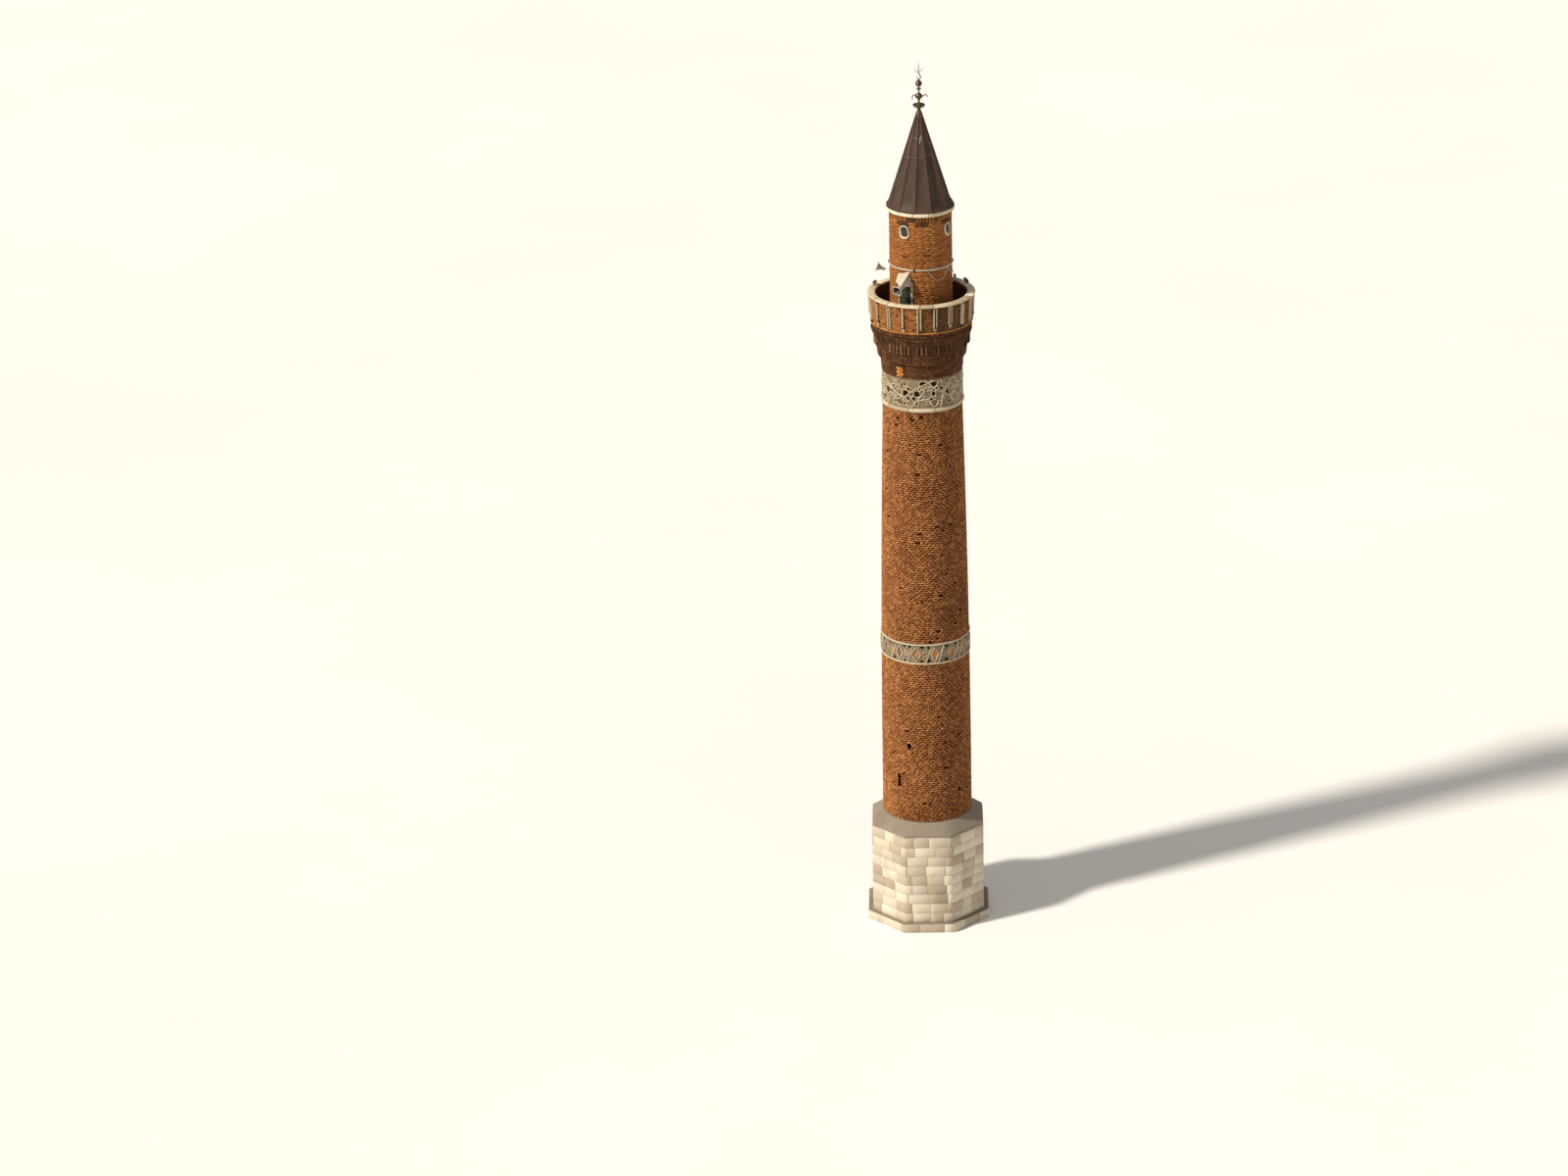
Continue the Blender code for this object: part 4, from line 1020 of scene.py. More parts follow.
LIT_TONES = ((0.34, 0.12, 0.025), (0.48, 0.20, 0.04), (0.55, 0.31, 0.09))
dark_brick_finish = masonry_finish("dark_brick_face", DARK_TONES, (0.42, 0.38, 0.36), 0.015, 0.006,
                                   stain_size=0.5)
lit_brick_finish = masonry_finish("orange_brick_repair", LIT_TONES, (0.55, 0.45, 0.38), 0.015, 0.005,
                                  stain_size=0.4)
CORBEL_JOINT_TONES = ((0.040, 0.016, 0.006), (0.060, 0.024, 0.008))
corbel_bed_finish = masonry_finish("dark_joint", CORBEL_JOINT_TONES, BED_STAIN)


def tier_radius(tier, height):
    """The radius of a corbel tier, which flares toward its top."""
    foot, top, low, high, power = tier
    return low + (high - low) * min(max((height - foot) / (top - LIP - foot), 0.0), 1.0) ** power


def tier_courses(tier, foot, course, pitch, brick, **options):
    """Courses of thin bricks that follow a tier's curve, from a height up to its rounded course."""
    return lay_courses(foot, tier[1] - LIP - 0.003, lambda z: tier_radius(tier, z), course, pitch, brick,
                       CORBEL_DEPTH, **options)


def plane_down(piece, tier):
    """Takes the rounded course off a tier's bed, since separate stones make it below."""
    for vertex in piece.data.vertices:
        radius = hypot(vertex.co.x, vertex.co.y)
        limit = tier_radius(tier, vertex.co.z) - CORBEL_DEPTH
        if radius > limit:
            vertex.co.x *= limit / radius
            vertex.co.y *= limit / radius


for name, tier in (("lower", LOWER_TIER), ("middle", MIDDLE_TIER), ("upper", UPPER_TIER)):
    tier_bed = set_back(f"corbel_{name}_bed", [f"corbel_{name}_tier"], corbel_bed_finish,
                        CORBEL_DEPTH, beyond=1.4)
    plane_down(tier_bed, tier)
worn_away = CORBEL_STREAK + CORBEL_CHIPS
plain = tier_courses(LOWER_TIER, 22.903, 0.078, 0.215, (0.211, 0.0755), openings=worn_away,
                     wave=0.003, rough=0.16, lean=0.5)
plain += tier_courses(MIDDLE_TIER, 23.503, 0.080, 0.170, (0.167, 0.0775), openings=worn_away,
                      wave=0.003, rough=0.16, lean=0.5)
plain += tier_courses(UPPER_TIER, BLOCKS_TOP, 0.078, 0.200, (0.194, 0.0755), wave=0.003, rough=0.3, lean=0.8)
behind_blocks = lay_courses(23.96, BLOCKS_TOP - 0.005, lambda z: tier_radius(UPPER_TIER, z) - 0.008, 0.078,
                            0.200, (0.194, 0.074), 0.010, wave=0.003, rough=0.4, lean=0.8)
plain += [(*spot[:7], spot[7] * SHADED) for spot in behind_blocks]
add_bricks("corbel_bricks", plain, dark_brick_finish)
lips = []
for tier, proud in LIPS_PROUD.items():
    top, high = tier[1], tier[3]
    nose = half_round(high - 0.08, high + proud, top - LIP + 0.002, top - 0.002)
    for k in range(LIP_BRICKS):
        push = random.uniform(-0.010, 0)
        lips.append(ring_stone([(r + push, z) for r, z in nose], LIP_TURN * k + LIP_GAP,
                               LIP_TURN * (k + 1) - LIP_GAP, 0.005, tone=random.random()))
add_piece("corbel_roll_courses", lips, dark_brick_finish, sharp=45)

# %% [markdown]
# ## Blocks, arches and ribs on the corbelling
#
# The small blocks have a broader foot and pale worn edges, and their tones are painted paler
# toward the lit left side and darker toward the right, as painted light. Over most of them stands
# a little arch, one strap that runs up, over and down again, and between the groups of arches stand
# long thin ribs. Every path is drawn flat and then laid on the flare, so the ornament leans out with it.

# %% Corbel ornament
DENTILS = 70
NICHES = 56
NICHE_HALF = 0.058
NICHE_FOOT = 24.36
NICHE_TALL = 0.25
RIB_SECTORS = ((-72, -44), (34, 64), (100, 128), (190, 216))
RIB_STEP = 2.6
RIB_SHARE = 0.8
LOW_RIB_SHARE = 0.3
ARCH_SHARE = 0.75
REPAIRS = ((-33.5, 23.14), (98.0, 23.15), (203.0, 23.15))
REPAIR_BRICK = (0.135, 0.073)
REPAIR_PITCH = (5.2, 0.079)
REPAIR_FACE = 1.545
DENTIL_FOOT = 24.02
DENTIL_TALL = (0.27, 0.33)
DENTIL_PROUD = (0.055, 0.070)
DENTIL_WIDE = 0.058
DENTIL_BASE = (0.090, 0.07)
# The pale end of these tones also paints light on the dentils of the lit left side.
WEAR_AND_LIGHT_TONES = ((0.060, 0.024, 0.009), (0.105, 0.048, 0.019), (0.19, 0.108, 0.052), (0.31, 0.20, 0.112))
wear_and_light_finish = masonry_finish("worn_block_with_painted_light", WEAR_AND_LIGHT_TONES, (0.5, 0.44, 0.40), 0.012, 0.006, stain_size=0.4)


def niche_path(bearing, foot, half, tall, tier):
    """Up one side, over a round arch and down the other side, on the curve of a tier."""
    flat = [(-half, 0.0), (-half, (tall - half) / 2)]
    flat += [(-half * cos(pi * k / 6), tall - half + half * sin(pi * k / 6)) for k in range(7)]
    flat += [(half, (tall - half) / 2), (half, 0.0)]
    path = []
    for across, up in flat:
        radius = tier_radius(tier, foot + up)
        path.append(on_wall(radius, bearing + degrees(across / radius), foot + up))
    return path


def among(bearing, sectors):
    return any(low <= (bearing - low) % 360 + low <= high for low, high in sectors)


dentils = []
for k in range(DENTILS):
    bearing = 360 * k / DENTILS + random.normal(0, 0.3)
    if among(bearing, RIB_SECTORS) or random.random() < 0.06:
        continue
    tall = random.uniform(*DENTIL_TALL)
    radius = tier_radius(UPPER_TIER, 24.10) - CORBEL_DEPTH
    # Painted light: blocks toward the lit left take paler tones and blocks on the right darker ones; the
    # random part is wear.
    worn = min(1.0, max(0.0, 0.45 - 0.5 * sin(radians(bearing + 12)) + random.normal(0, 0.20)))
    dentils.append((bearing, DENTIL_FOOT + tall / 2, radius, DENTIL_WIDE, tall,
                    random.uniform(*DENTIL_PROUD), radians(random.normal(0, 3)), worn))
    dentils.append((bearing, DENTIL_FOOT - 0.015, radius, *DENTIL_BASE, random.uniform(*DENTIL_PROUD), 0.0,
                    worn))
add_bricks("corbel_dentils", dentils, wear_and_light_finish)
arches, niche_shade_plates, repairs = [], [], []
for k in range(NICHES):
    bearing = 360 * (k + 0.5) / NICHES
    if not among(bearing, RIB_SECTORS) and random.random() < ARCH_SHARE:
        path = niche_path(bearing, NICHE_FOOT, NICHE_HALF, NICHE_TALL * random.uniform(0.85, 1.0), UPPER_TIER)
        arches.append(carried(path, strap_outline(0.024, 0.026), from_axis, tone=random.uniform(0.0, 0.6)))
        # Painted shade: a thin near-black plate fills each arch, standing for the shade in the niche.
        niche_shade_plates.append((bearing, NICHE_FOOT + 0.10, tier_radius(UPPER_TIER, NICHE_FOOT + 0.10), 0.075, 0.17,
                        0.004, 0.0, random.random()))
for low, high in RIB_SECTORS:
    for k in range(int((high - low) / RIB_STEP)):
        bearing = low + (k + 0.5) * RIB_STEP
        heights = [24.10 + random.uniform(0, 0.28), 24.45, 24.64]
        rib = [on_wall(tier_radius(UPPER_TIER, z), bearing, z) for z in heights]
        if random.random() < RIB_SHARE:
            tone = random.uniform(0.0, 0.45)
            arches.append(carried(rib, strap_outline(0.022, 0.026), from_axis, tone=tone))
        if random.random() < LOW_RIB_SHARE:
            rib = [on_wall(tier_radius(MIDDLE_TIER, z), bearing + 2, z) for z in (23.55, 23.72, 23.86)]
            arches.append(carried(rib, strap_outline(0.026, 0.022), from_axis, tone=random.uniform(0.0, 0.4)))
add_piece("corbel_arches_and_ribs", arches, wear_and_light_finish, sharp=50)
add_bricks("corbel_niche_shade", niche_shade_plates, hollow_shade_finish, 0.1)
for bearing, height in REPAIRS:
    for row in range(5):
        for column in range(2):
            along = bearing + (column - 0.5 + 0.4 * (row % 2)) * REPAIR_PITCH[0]
            level = height + (row - 2) * REPAIR_PITCH[1]
            repairs.append((along, level, REPAIR_FACE, *REPAIR_BRICK, random.uniform(0.026, 0.036),
                            radians(random.normal(0, 1.5)), random.random()))
add_bricks("corbel_repairs", repairs, lit_brick_finish)

# %% [markdown]
# ## The parapet
#
# The parapet leans out a little. Its panels are brick, roughly laid and much weathered, so each
# brick stands out by its own amount. A course of bright bricks set on edge marks its foot.

# %% Parapet panels
PARAPET_FOOT = 24.66
PARAPET_TOP = 25.90
PARAPET_INNER = 1.742
PANEL_FOOT = 1.925
PANEL_TOP = 1.985
PANEL_DEPTH = 0.035
PANEL_BRICKS_TOP = 25.899
EDGE_COURSE_FOOT = 24.845
EDGE_COURSE_TOP = 24.892
EDGE_BRICKS = 120
EDGE_LENGTH = 0.0345
DECK_FACE = 24.905
INNER_PROUD = 0.022
PILASTERS = 20
FIRST_PILASTER = -2.7
# Each panel, from the front to the right: how its bricks lean, how they wave, and how much paler they are
# painted, which rises toward the lit left side as painted light.
PANELS = ((6, 0.010, 0.22), (9, 0.012, 0.02), (4, 0.012, 0.08), (10, 0.010, 0.30), (5, 0.012, 0.35),
          (8, 0.010, 0.10), (3, 0.012, 0.20), (10, 0.012, 0.30), (6, 0.008, 0.15), (8, 0.012, 0.25),
          (4, 0.012, 0.35), (9, 0.010, 0.20), (7, 0.012, 0.30), (4, 0.012, 0.40), (10, 0.010, 0.45),
          (6, 0.012, 0.55), (3, 0.010, 0.62), (8, 0.012, 0.50), (11, 0.012, 0.52), (7, 0.012, 0.58))
PARAPET_NODES = [f"parapet_{side}" for side in ("front_left", "front_right", "back_right", "back_left")]
PANEL_TONES = ((0.072, 0.035, 0.019), (0.122, 0.061, 0.020), (0.24, 0.090, 0.0245), (0.36, 0.158, 0.043))
PANEL_JOINT_TONES = ((0.07, 0.028, 0.010), (0.11, 0.045, 0.016))
panel_bed_finish = masonry_finish("panel_joint", PANEL_JOINT_TONES, BED_STAIN)
panel_finish = masonry_finish("parapet_brick_face", PANEL_TONES, (0.50, 0.42, 0.38), 0.02, 0.008,
                              stain_size=0.35)


def panel_radius(height):
    share = (height - PARAPET_FOOT) / (PARAPET_TOP - PARAPET_FOOT)
    return PANEL_FOOT + (PANEL_TOP - PANEL_FOOT) * share


bed = [
    (PARAPET_INNER, PARAPET_FOOT + 0.001),
    (PANEL_FOOT - PANEL_DEPTH, PARAPET_FOOT + 0.001),
    (PANEL_TOP - PANEL_DEPTH, PANEL_BRICKS_TOP),
    (PARAPET_INNER, PANEL_BRICKS_TOP),
]
add_piece("parapet_bed", [turned(bed, 96, closed=True)], panel_bed_finish, PARAPET_NODES,
          sharp=40)
foot_courses = lay_courses(PARAPET_FOOT + 0.003, EDGE_COURSE_FOOT, panel_radius, 0.080, 0.160, (0.155, 0.076),
                           PANEL_DEPTH, wave=0.002, rough=0.3, lean=0.6)
add_bricks("parapet_foot_bricks", foot_courses, dark_brick_finish)
panel_bricks = []
for panel, (pair_lean, wave, painted_paling) in enumerate(PANELS):
    middle = FIRST_PILASTER + (panel + 0.5) * 360 / PILASTERS
    spots = lay_courses(EDGE_COURSE_TOP, PANEL_BRICKS_TOP, panel_radius, 0.077, 0.118, (0.117, 0.071),
                        PANEL_DEPTH, wave=wave, missing=0.03, rough=0.75, lean=4.5, pair_lean=pair_lean)
    # Painted light: each panel's tones are raised by its paling, most on the lit left side.
    panel_bricks += [
        (*spot[:7], min(max(0.45 * spot[7] + painted_paling, 0.0), 1.0))
        for spot in spots
        if abs(turn_between(spot[0], middle)) < 180 / PILASTERS
    ]
add_bricks("parapet_bricks", panel_bricks, panel_finish, 0.4)
edge_course = [
    (360 * k / EDGE_BRICKS, (EDGE_COURSE_FOOT + EDGE_COURSE_TOP) / 2, PANEL_FOOT - 0.02,
     360 / EDGE_BRICKS * EDGE_LENGTH, EDGE_COURSE_TOP - EDGE_COURSE_FOOT, random.uniform(0.062, 0.070), 0.0,
     random.random())
    for k in range(EDGE_BRICKS)
]
add_bricks("parapet_edge_course", edge_course, lit_brick_finish)
inner_wall = lay_courses(DECK_FACE, PANEL_BRICKS_TOP, lambda z: PARAPET_INNER, 0.09, 0.22, (0.214, 0.082),
                         INNER_PROUD, wave=0.003, missing=0.03, rough=0.6)
turned_inward = [(*spot[:2], PARAPET_INNER, *spot[3:5], -spot[5], *spot[6:]) for spot in inner_wall]
add_piece("parapet_inner_bricks", [lay_blocks(brick_shape(0.3), turned_inward)], dark_brick_finish)

# %% [markdown]
# ## The pilasters
#
# Twenty slender pilasters divide the panels. Most are a pair of thin shafts with a dark groove
# between them. Some join in a round loop at the top and the foot, with a small ring below, and
# some have lost one shaft. So one recipe is called with one of four kinds, and the kind decides
# which straps are laid.

# %% Pilasters
PILASTER_HALF = 0.053
SHAFT_WIDTH = 0.050
SHAFT_PROUD = 0.058
PILASTER_FOOT = 24.93
PILASTER_TOP = 25.895
KINDS = ("pair", "loop", "short loop", "pair", "pair", "single", "loop", "pair", "short loop", "pair",
         "single", "pair", "loop", "pair", "single", "short loop", "pair", "single", "pair", "single")
PILASTER_RAISED = {"pair": -0.03, "loop": 0.13, "short loop": 0.20, "single": 0.12}
pilaster_straps, groove_shades, fittings = [], [], []


def up_the_panel(bearing, line):
    """Lays a flat line of (across, height) points on the leaning panel."""
    return [on_wall(panel_radius(z), bearing + degrees(x / PANEL_TOP), z) for x, z in line]


def arc_line(x, z, radius, start, end, steps=6):
    turns = [radians(start + (end - start) * k / steps) for k in range(steps + 1)]
    return [(x + radius * cos(turn), z + radius * sin(turn)) for turn in turns]


for k in range(PILASTERS):
    bearing = FIRST_PILASTER + k * 360 / PILASTERS
    kind = KINDS[k]
    half = PILASTER_HALF * random.uniform(0.85, 1.12)
    foot = PILASTER_FOOT + PILASTER_RAISED[kind]
    top = PILASTER_TOP - (half if "loop" in kind else 0.0)
    section = strap_outline(SHAFT_WIDTH * (0.78 if "loop" in kind else 1.0), SHAFT_PROUD)
    tone = random.uniform(0.3, 1.0)
    if "loop" in kind:
        line = [(-half, foot + half), (-half, top)] + arc_line(0, top, half, 180, 0) + [(half, foot + half)]
        line += arc_line(0, foot + half, half, 0, -180)[1:-1]
        loop = up_the_panel(bearing, line)
        pilaster_straps.append(carried(loop, section, from_axis, closed=True, tone=tone))
    else:
        sides = (-half, half) if kind == "pair" else (-half * 0.3,)
        for x in sides:
            lost = random.choice((0.0, 0.0, 0.05, 0.12))
            line = [(x, foot + lost), (x, (foot + top) / 2), (x, top - 0.1), (x * 0.9, top)]
            pilaster_straps.append(carried(up_the_panel(bearing, line), section, from_axis, tone=tone))
    if kind != "pair":
        ring = arc_line(0, foot - 0.06, 0.042, 0, 360, 10)[:-1]
        pilaster_straps.append(carried(up_the_panel(bearing, ring), strap_outline(0.032, 0.05), from_axis,
                                       closed=True, tone=tone))
    width = 2 * half if kind != "single" else 0.08
    middle = (foot + top) / 2
    # Painted shade: a near-black strip between the shafts stands for the shade of the groove.
    groove_shades.append((bearing, middle, panel_radius(middle) - 0.02, width, top - foot, 0.024, 0.0,
                    random.random()))
    fitting_height = foot + random.uniform(0.0, 0.10)
    fittings.append((bearing, fitting_height, panel_radius(fitting_height), 0.11, 0.055, 0.066,
                     radians(random.normal(0, 6)), random.random()))
    if random.random() < 0.5:
        fittings.append((bearing + 0.6, top - 0.04, panel_radius(top), 0.07, 0.05, 0.07, 0.1,
                         random.random()))
add_piece("pilaster_straps", pilaster_straps, strap_finish, sharp=50)
add_bricks("pilaster_groove_shade", groove_shades, hollow_shade_finish, 0.1)
add_bricks("pilaster_fittings", fittings, hollow_shade_finish, 0.4)

# %% [markdown]
# ## The coping
#
# Pale weathered blocks cover the parapet. Each one sits a hair higher or lower than the next, and
# on the left two joints have opened wide. Small random moves of the points, always inward, make
# the wear, since a perfectly smooth block would look cast.

# %% Coping
COPING_FOOT = 25.902
COPING_TOP = 25.976
COPING_INNER = 1.765
COPING_OUTER = 2.075
COPING_STONES = 19
WIDE_GAPS = ((-58.0, 1.3), (-48.0, 0.9), (-3.0, 0.4))
coping_profile = [
    (COPING_INNER, COPING_FOOT),
    (COPING_INNER, COPING_TOP - 0.02),
    (COPING_INNER + 0.03, COPING_TOP - 0.004),
    (1.85, COPING_TOP),
    (1.97, COPING_TOP - 0.004),
    (COPING_OUTER - 0.03, COPING_TOP - 0.012),
    (COPING_OUTER, COPING_TOP - 0.035),
    (COPING_OUTER - 0.012, COPING_FOOT + 0.012),
    (COPING_OUTER - 0.03, COPING_FOOT),
]
COPING_TONES = ((0.36, 0.30, 0.20), (0.50, 0.425, 0.295), (0.63, 0.55, 0.395), (0.72, 0.64, 0.48))
coping_finish = masonry_finish("weathered_coping", COPING_TONES, (0.50, 0.52, 0.34), 0.03, 0.014,
                               stain_size=0.45)


def chip(piece, amount, keep_inside):
    """Moves every point a little inward by chance, as weather does, and never outward."""
    for vertex in piece.data.vertices:
        radius = hypot(vertex.co.x, vertex.co.y)
        inner = abs(radius - keep_inside) < 0.01
        loss = abs(random.normal(0, amount))
        if not inner:
            vertex.co.x *= (radius - loss) / radius
            vertex.co.y *= (radius - loss) / radius
        vertex.co.z -= abs(random.normal(0, amount * 0.4)) if vertex.co.z > COPING_FOOT + 0.04 else 0.0


coping = ring_of_stones("coping_stones", coping_profile, COPING_STONES, -61, coping_finish,
                        ["parapet_coping"], uneven=0.3, gap=0.18, gaps=WIDE_GAPS)
chip(coping, 0.008, COPING_INNER)

# %% [markdown]
# ## The drum
#
# The drum above the balcony is laid in thin courses with tight head joints, so that the level
# lines show most. Under the cornice runs a row of short upright bricks, and near it some bricks
# have fallen and left dark patches. Each patch is a hole that the courses leave out.

# %% Drum courses
DRUM_RADIUS = 1.20
DRUM_FOOT = 24.90
DRUM_TOP = 29.25
TEETH_FOOT = 29.04
TEETH_TOP = 29.19
TEETH = 60
TEETH_KEPT = 0.9
TOOTH_WIDE = 0.062
TOOTH_PROUD = 0.020
DRUM_JOINT = 0.022
DOOR_BEARING = -31.0
DRUM_SIDES = ("door_side", "right", "back", "left")
OCULI = [DOOR_BEARING + 90 * k for k in range(4)]
OCULUS_HEIGHT = 28.62
OCULUS_SIZE = (0.36, 0.46)
DOOR_WIDTH = 0.64
DOOR_TALL = 1.78
DRUM_TONES = ((0.25, 0.094, 0.021), (0.295, 0.112, 0.026), (0.32, 0.125, 0.030), (0.37, 0.156, 0.044))
drum_finish = masonry_finish("drum_brick_face", DRUM_TONES, (0.55, 0.46, 0.40), 0.015, 0.005, stain_size=0.8)
openings = [(DOOR_BEARING, DRUM_FOOT + DOOR_TALL / 2, DOOR_WIDTH + 0.04, DOOR_TALL + 0.06)]
openings += [(bearing, OCULUS_HEIGHT, *OCULUS_SIZE) for bearing in OCULI]
fallen = [(-15, 29.12, 0.24, 0.14), (3.5, 28.96, 0.15, 0.16), (-24, 26.0, 0.02, 0.02),
          (-33, 27.62, 0.04, 0.03), (8, 27.70, 0.02, 0.02), (60, 27.9, 0.10, 0.06),
          (130, 28.4, 0.20, 0.10), (210, 27.5, 0.06, 0.06)]
fallen += [(bearing - 1, OCULUS_HEIGHT + 0.34, 0.17, 0.14) for bearing in OCULI]
drum_bed_finish = masonry_finish("drum_joint", ((0.075, 0.026, 0.008), (0.11, 0.040, 0.012)), BED_STAIN)
drum_nodes = [f"drum_wall_{side}" for side in DRUM_SIDES]
set_back("drum_bed", drum_nodes, drum_bed_finish, DRUM_JOINT, beyond=1.1)
spots = lay_courses(DRUM_FOOT + 0.003, TEETH_FOOT, lambda z: DRUM_RADIUS, 0.092, 0.27, (0.272, 0.072),
                    DRUM_JOINT, holes=fallen, openings=openings, wave=0.011, rough=0.30, lean=0.5)
teeth = []
for k in range(TEETH):
    bearing = 360 * k / TEETH
    kept = random.random() < TEETH_KEPT
    if kept and clear_of(fallen, bearing, TEETH_FOOT + 0.07, DRUM_RADIUS, 0.02, 0.05):
        teeth.append((bearing, (TEETH_FOOT + TEETH_TOP) / 2, DRUM_RADIUS - DRUM_JOINT, TOOTH_WIDE,
                      TEETH_TOP - TEETH_FOOT - 0.01, TOOTH_PROUD, 0.0, random.random()))
top_course = lay_courses(TEETH_TOP, DRUM_TOP - 0.002, lambda z: DRUM_RADIUS, 0.06, 0.20, (0.20, 0.056),
                         DRUM_JOINT, missing=0.02, rough=0.4)
add_bricks("drum_bricks", spots + teeth + top_course, drum_finish, 0.55, 0.02)

# %% [markdown]
# ## Windows of the drum
#
# Each oval window has a pale rim of hand-shaped plaster, thicker at its lower left, a dark pane
# set back in it, and above it a shallow stepped recess, painted near black as its shade. The rim
# is a strap carried round an oval that lies a little turned on the drum, and its width changes on
# the way round. The oval is a superellipse: a power over 2 gives it fuller corners than an ellipse has.

# %% Oval windows
PANE_DEPTH = 0.035
OCULUS_POINTS = 28
OCULUS_SQUARE = 2.6
OCULUS_SWING = 14.0
RIM_LINE = (0.180, 0.232)
THICK_SIDE = 235.0
RECESS_STEPS = ((0.27, 0.275), (0.24, 0.335), (0.15, 0.390))
RIM_SECTION = ((0.022, -0.05), (0.024, 0.034), (0.012, 0.052), (-0.012, 0.052), (-0.024, 0.030),
               (-0.024, -0.05))
RIM_THICKENS = 0.75
RECESS_BRICK = 0.062
GLASS_DARK = (0.012, 0.016, 0.016)

glass_finish, glass_tree, glass_shader = new_finish("dark_glass")
dust = sharpen(glass_tree, noise(glass_tree, 0.08, detail=6.0), 0.45, 0.8)
glass_tree.links.new(mix(glass_tree, times(glass_tree, dust, 0.35), GLASS_DARK, (0.16, 0.16, 0.13)),
                     glass_shader.inputs["Base Color"])
gloss = ramp(glass_tree, dust, [(0.0, (0.12,) * 3), (1.0, (0.55,) * 3)])
glass_tree.links.new(gloss, glass_shader.inputs["Roughness"])

for side, bearing in zip(DRUM_SIDES, OCULI):
    turns = [tau * k / OCULUS_POINTS for k in range(OCULUS_POINTS)]
    ring_line = []
    for turn in turns:
        stretch = (abs(cos(turn)) ** OCULUS_SQUARE + abs(sin(turn)) ** OCULUS_SQUARE) ** (-1 / OCULUS_SQUARE)
        x, z = RIM_LINE[0] * stretch * cos(turn), RIM_LINE[1] * stretch * sin(turn)
        swing = radians(OCULUS_SWING)
        uneven = 1 + random.normal(0, 0.010)
        ring_line.append(((x * cos(swing) - z * sin(swing)) * uneven,
                          OCULUS_HEIGHT + (x * sin(swing) + z * cos(swing)) * uneven))
    path = [on_wall(DRUM_RADIUS - 0.03, bearing + degrees(x / DRUM_RADIUS), z) for x, z in ring_line]
    widths = [1.0 + RIM_THICKENS * max(0.0, cos(turn - radians(THICK_SIDE))) for turn in turns]
    rim = carried(path, RIM_SECTION, from_axis, closed=True, tone=0.9, shares=widths)
    add_piece(f"oculus_rim_{side}", [rim], strap_finish, [f"oculus_{side}"], sharp=50)
    pane_radius = DRUM_RADIUS - PANE_DEPTH
    pane_line = [on_wall(pane_radius, bearing + degrees(x / DRUM_RADIUS), z) for x, z in ring_line]
    pane = ([*pane_line, on_wall(pane_radius + 0.006, bearing, OCULUS_HEIGHT)],
            [(k, (k + 1) % OCULUS_POINTS, OCULUS_POINTS) for k in range(OCULUS_POINTS)], 0.5)
    bar = carried([on_wall(pane_radius + 0.008, bearing, OCULUS_HEIGHT + rise) for rise in (-0.2, 0.2)],
                  strap_outline(0.010, 0.008), from_axis)
    add_piece(f"oculus_pane_{side}", [pane, bar], glass_finish, tidy_normals=False)
# Painted shade: the stepped recesses above the windows and the two fallen patches under the cornice are thin
# near-black plates.
recess_shade_plates = []
for bearing in OCULI:
    for width, rise in RECESS_STEPS:
        recess_shade_plates.append((bearing - 1.0, OCULUS_HEIGHT + rise, DRUM_RADIUS - DRUM_JOINT, width,
                         RECESS_BRICK, 0.012, 0.0, random.random()))
for bearing, height, width, tall in fallen[:2]:
    recess_shade_plates.append((bearing, height, DRUM_RADIUS - DRUM_JOINT, width, tall, 0.006, 0.0, random.random()))
add_bricks("oculus_recess_shade", recess_shade_plates, hollow_shade_finish, 0.1)

# %% [markdown]
# ## The balcony door
#
# A closed door of upright boards stands in a pale frame. The boards differ a little in tone and
# in how far they stand out, as dried boards do, and two rails, strap hinges and a ring handle
# hold them together. The door has no joint here, because it belongs to an upper floor.

# %% Balcony door
POST = 0.07
FRAME_FACE = sqrt(DRUM_RADIUS**2 - (DOOR_WIDTH / 2) ** 2) + 0.02
FRAME_DEPTH = 0.16
LEAF_FACE = FRAME_FACE - 0.05
LEAF_THICK = 0.045
BOARDS = 5
FRAME_STONES = 5
HANDLE_RADIUS = 0.035
GREEN_TONES = ((0.018, 0.026, 0.016), (0.030, 0.040, 0.024), (0.055, 0.062, 0.040))
green_finish = metal_finish("green_door_paint", GREEN_TONES, (0.12, 0.115, 0.075), 0.0, 0.42, 0.06, 0.35)
door_place = facing(DOOR_BEARING, 0.0, DRUM_FOOT)
inside_half = DOOR_WIDTH / 2 - POST
board_width = 2 * inside_half / BOARDS
leaf_tall = DOOR_TALL - POST - 0.004
rails = (0.25, leaf_tall - 0.28)
leaf = []
for k in range(BOARDS):
    board = soft_box(board_width - 0.004, LEAF_THICK, leaf_tall - 0.004, 0.006, tone=random.random())
    across = (k + 0.5) * board_width - inside_half
    sunk = LEAF_FACE - LEAF_THICK / 2 - random.uniform(0, 0.004)
    leaf.append(moved(board, door_place @ Matrix.Translation((across, sunk, leaf_tall / 2 + 0.004))))
for height in rails:
    rail = soft_box(2 * inside_half - 0.03, 0.014, 0.10, 0.004, tone=0.2)
    leaf.append(moved(rail, door_place @ Matrix.Translation((0, LEAF_FACE + 0.005, height))))
add_piece("door_boards", leaf, green_finish, ["balcony_door"], sharp=40)
iron = []
for height in rails:
    hinge = soft_box(2 * inside_half - 0.10, 0.008, 0.035, 0.003, tone=0.3)
    iron.append(moved(hinge, door_place @ Matrix.Translation((-0.03, LEAF_FACE + 0.016, height))))
    iron += [moved(bolt_head(0.010, 0.008), door_place @ Matrix.Translation((x, LEAF_FACE + 0.020, height)))
             for x in (-0.18, -0.08, 0.02, 0.11)]
handle = [(0.15 + x, LEAF_FACE + 0.022, 0.95 + z) for x, z in round_outline(HANDLE_RADIUS, 14)]
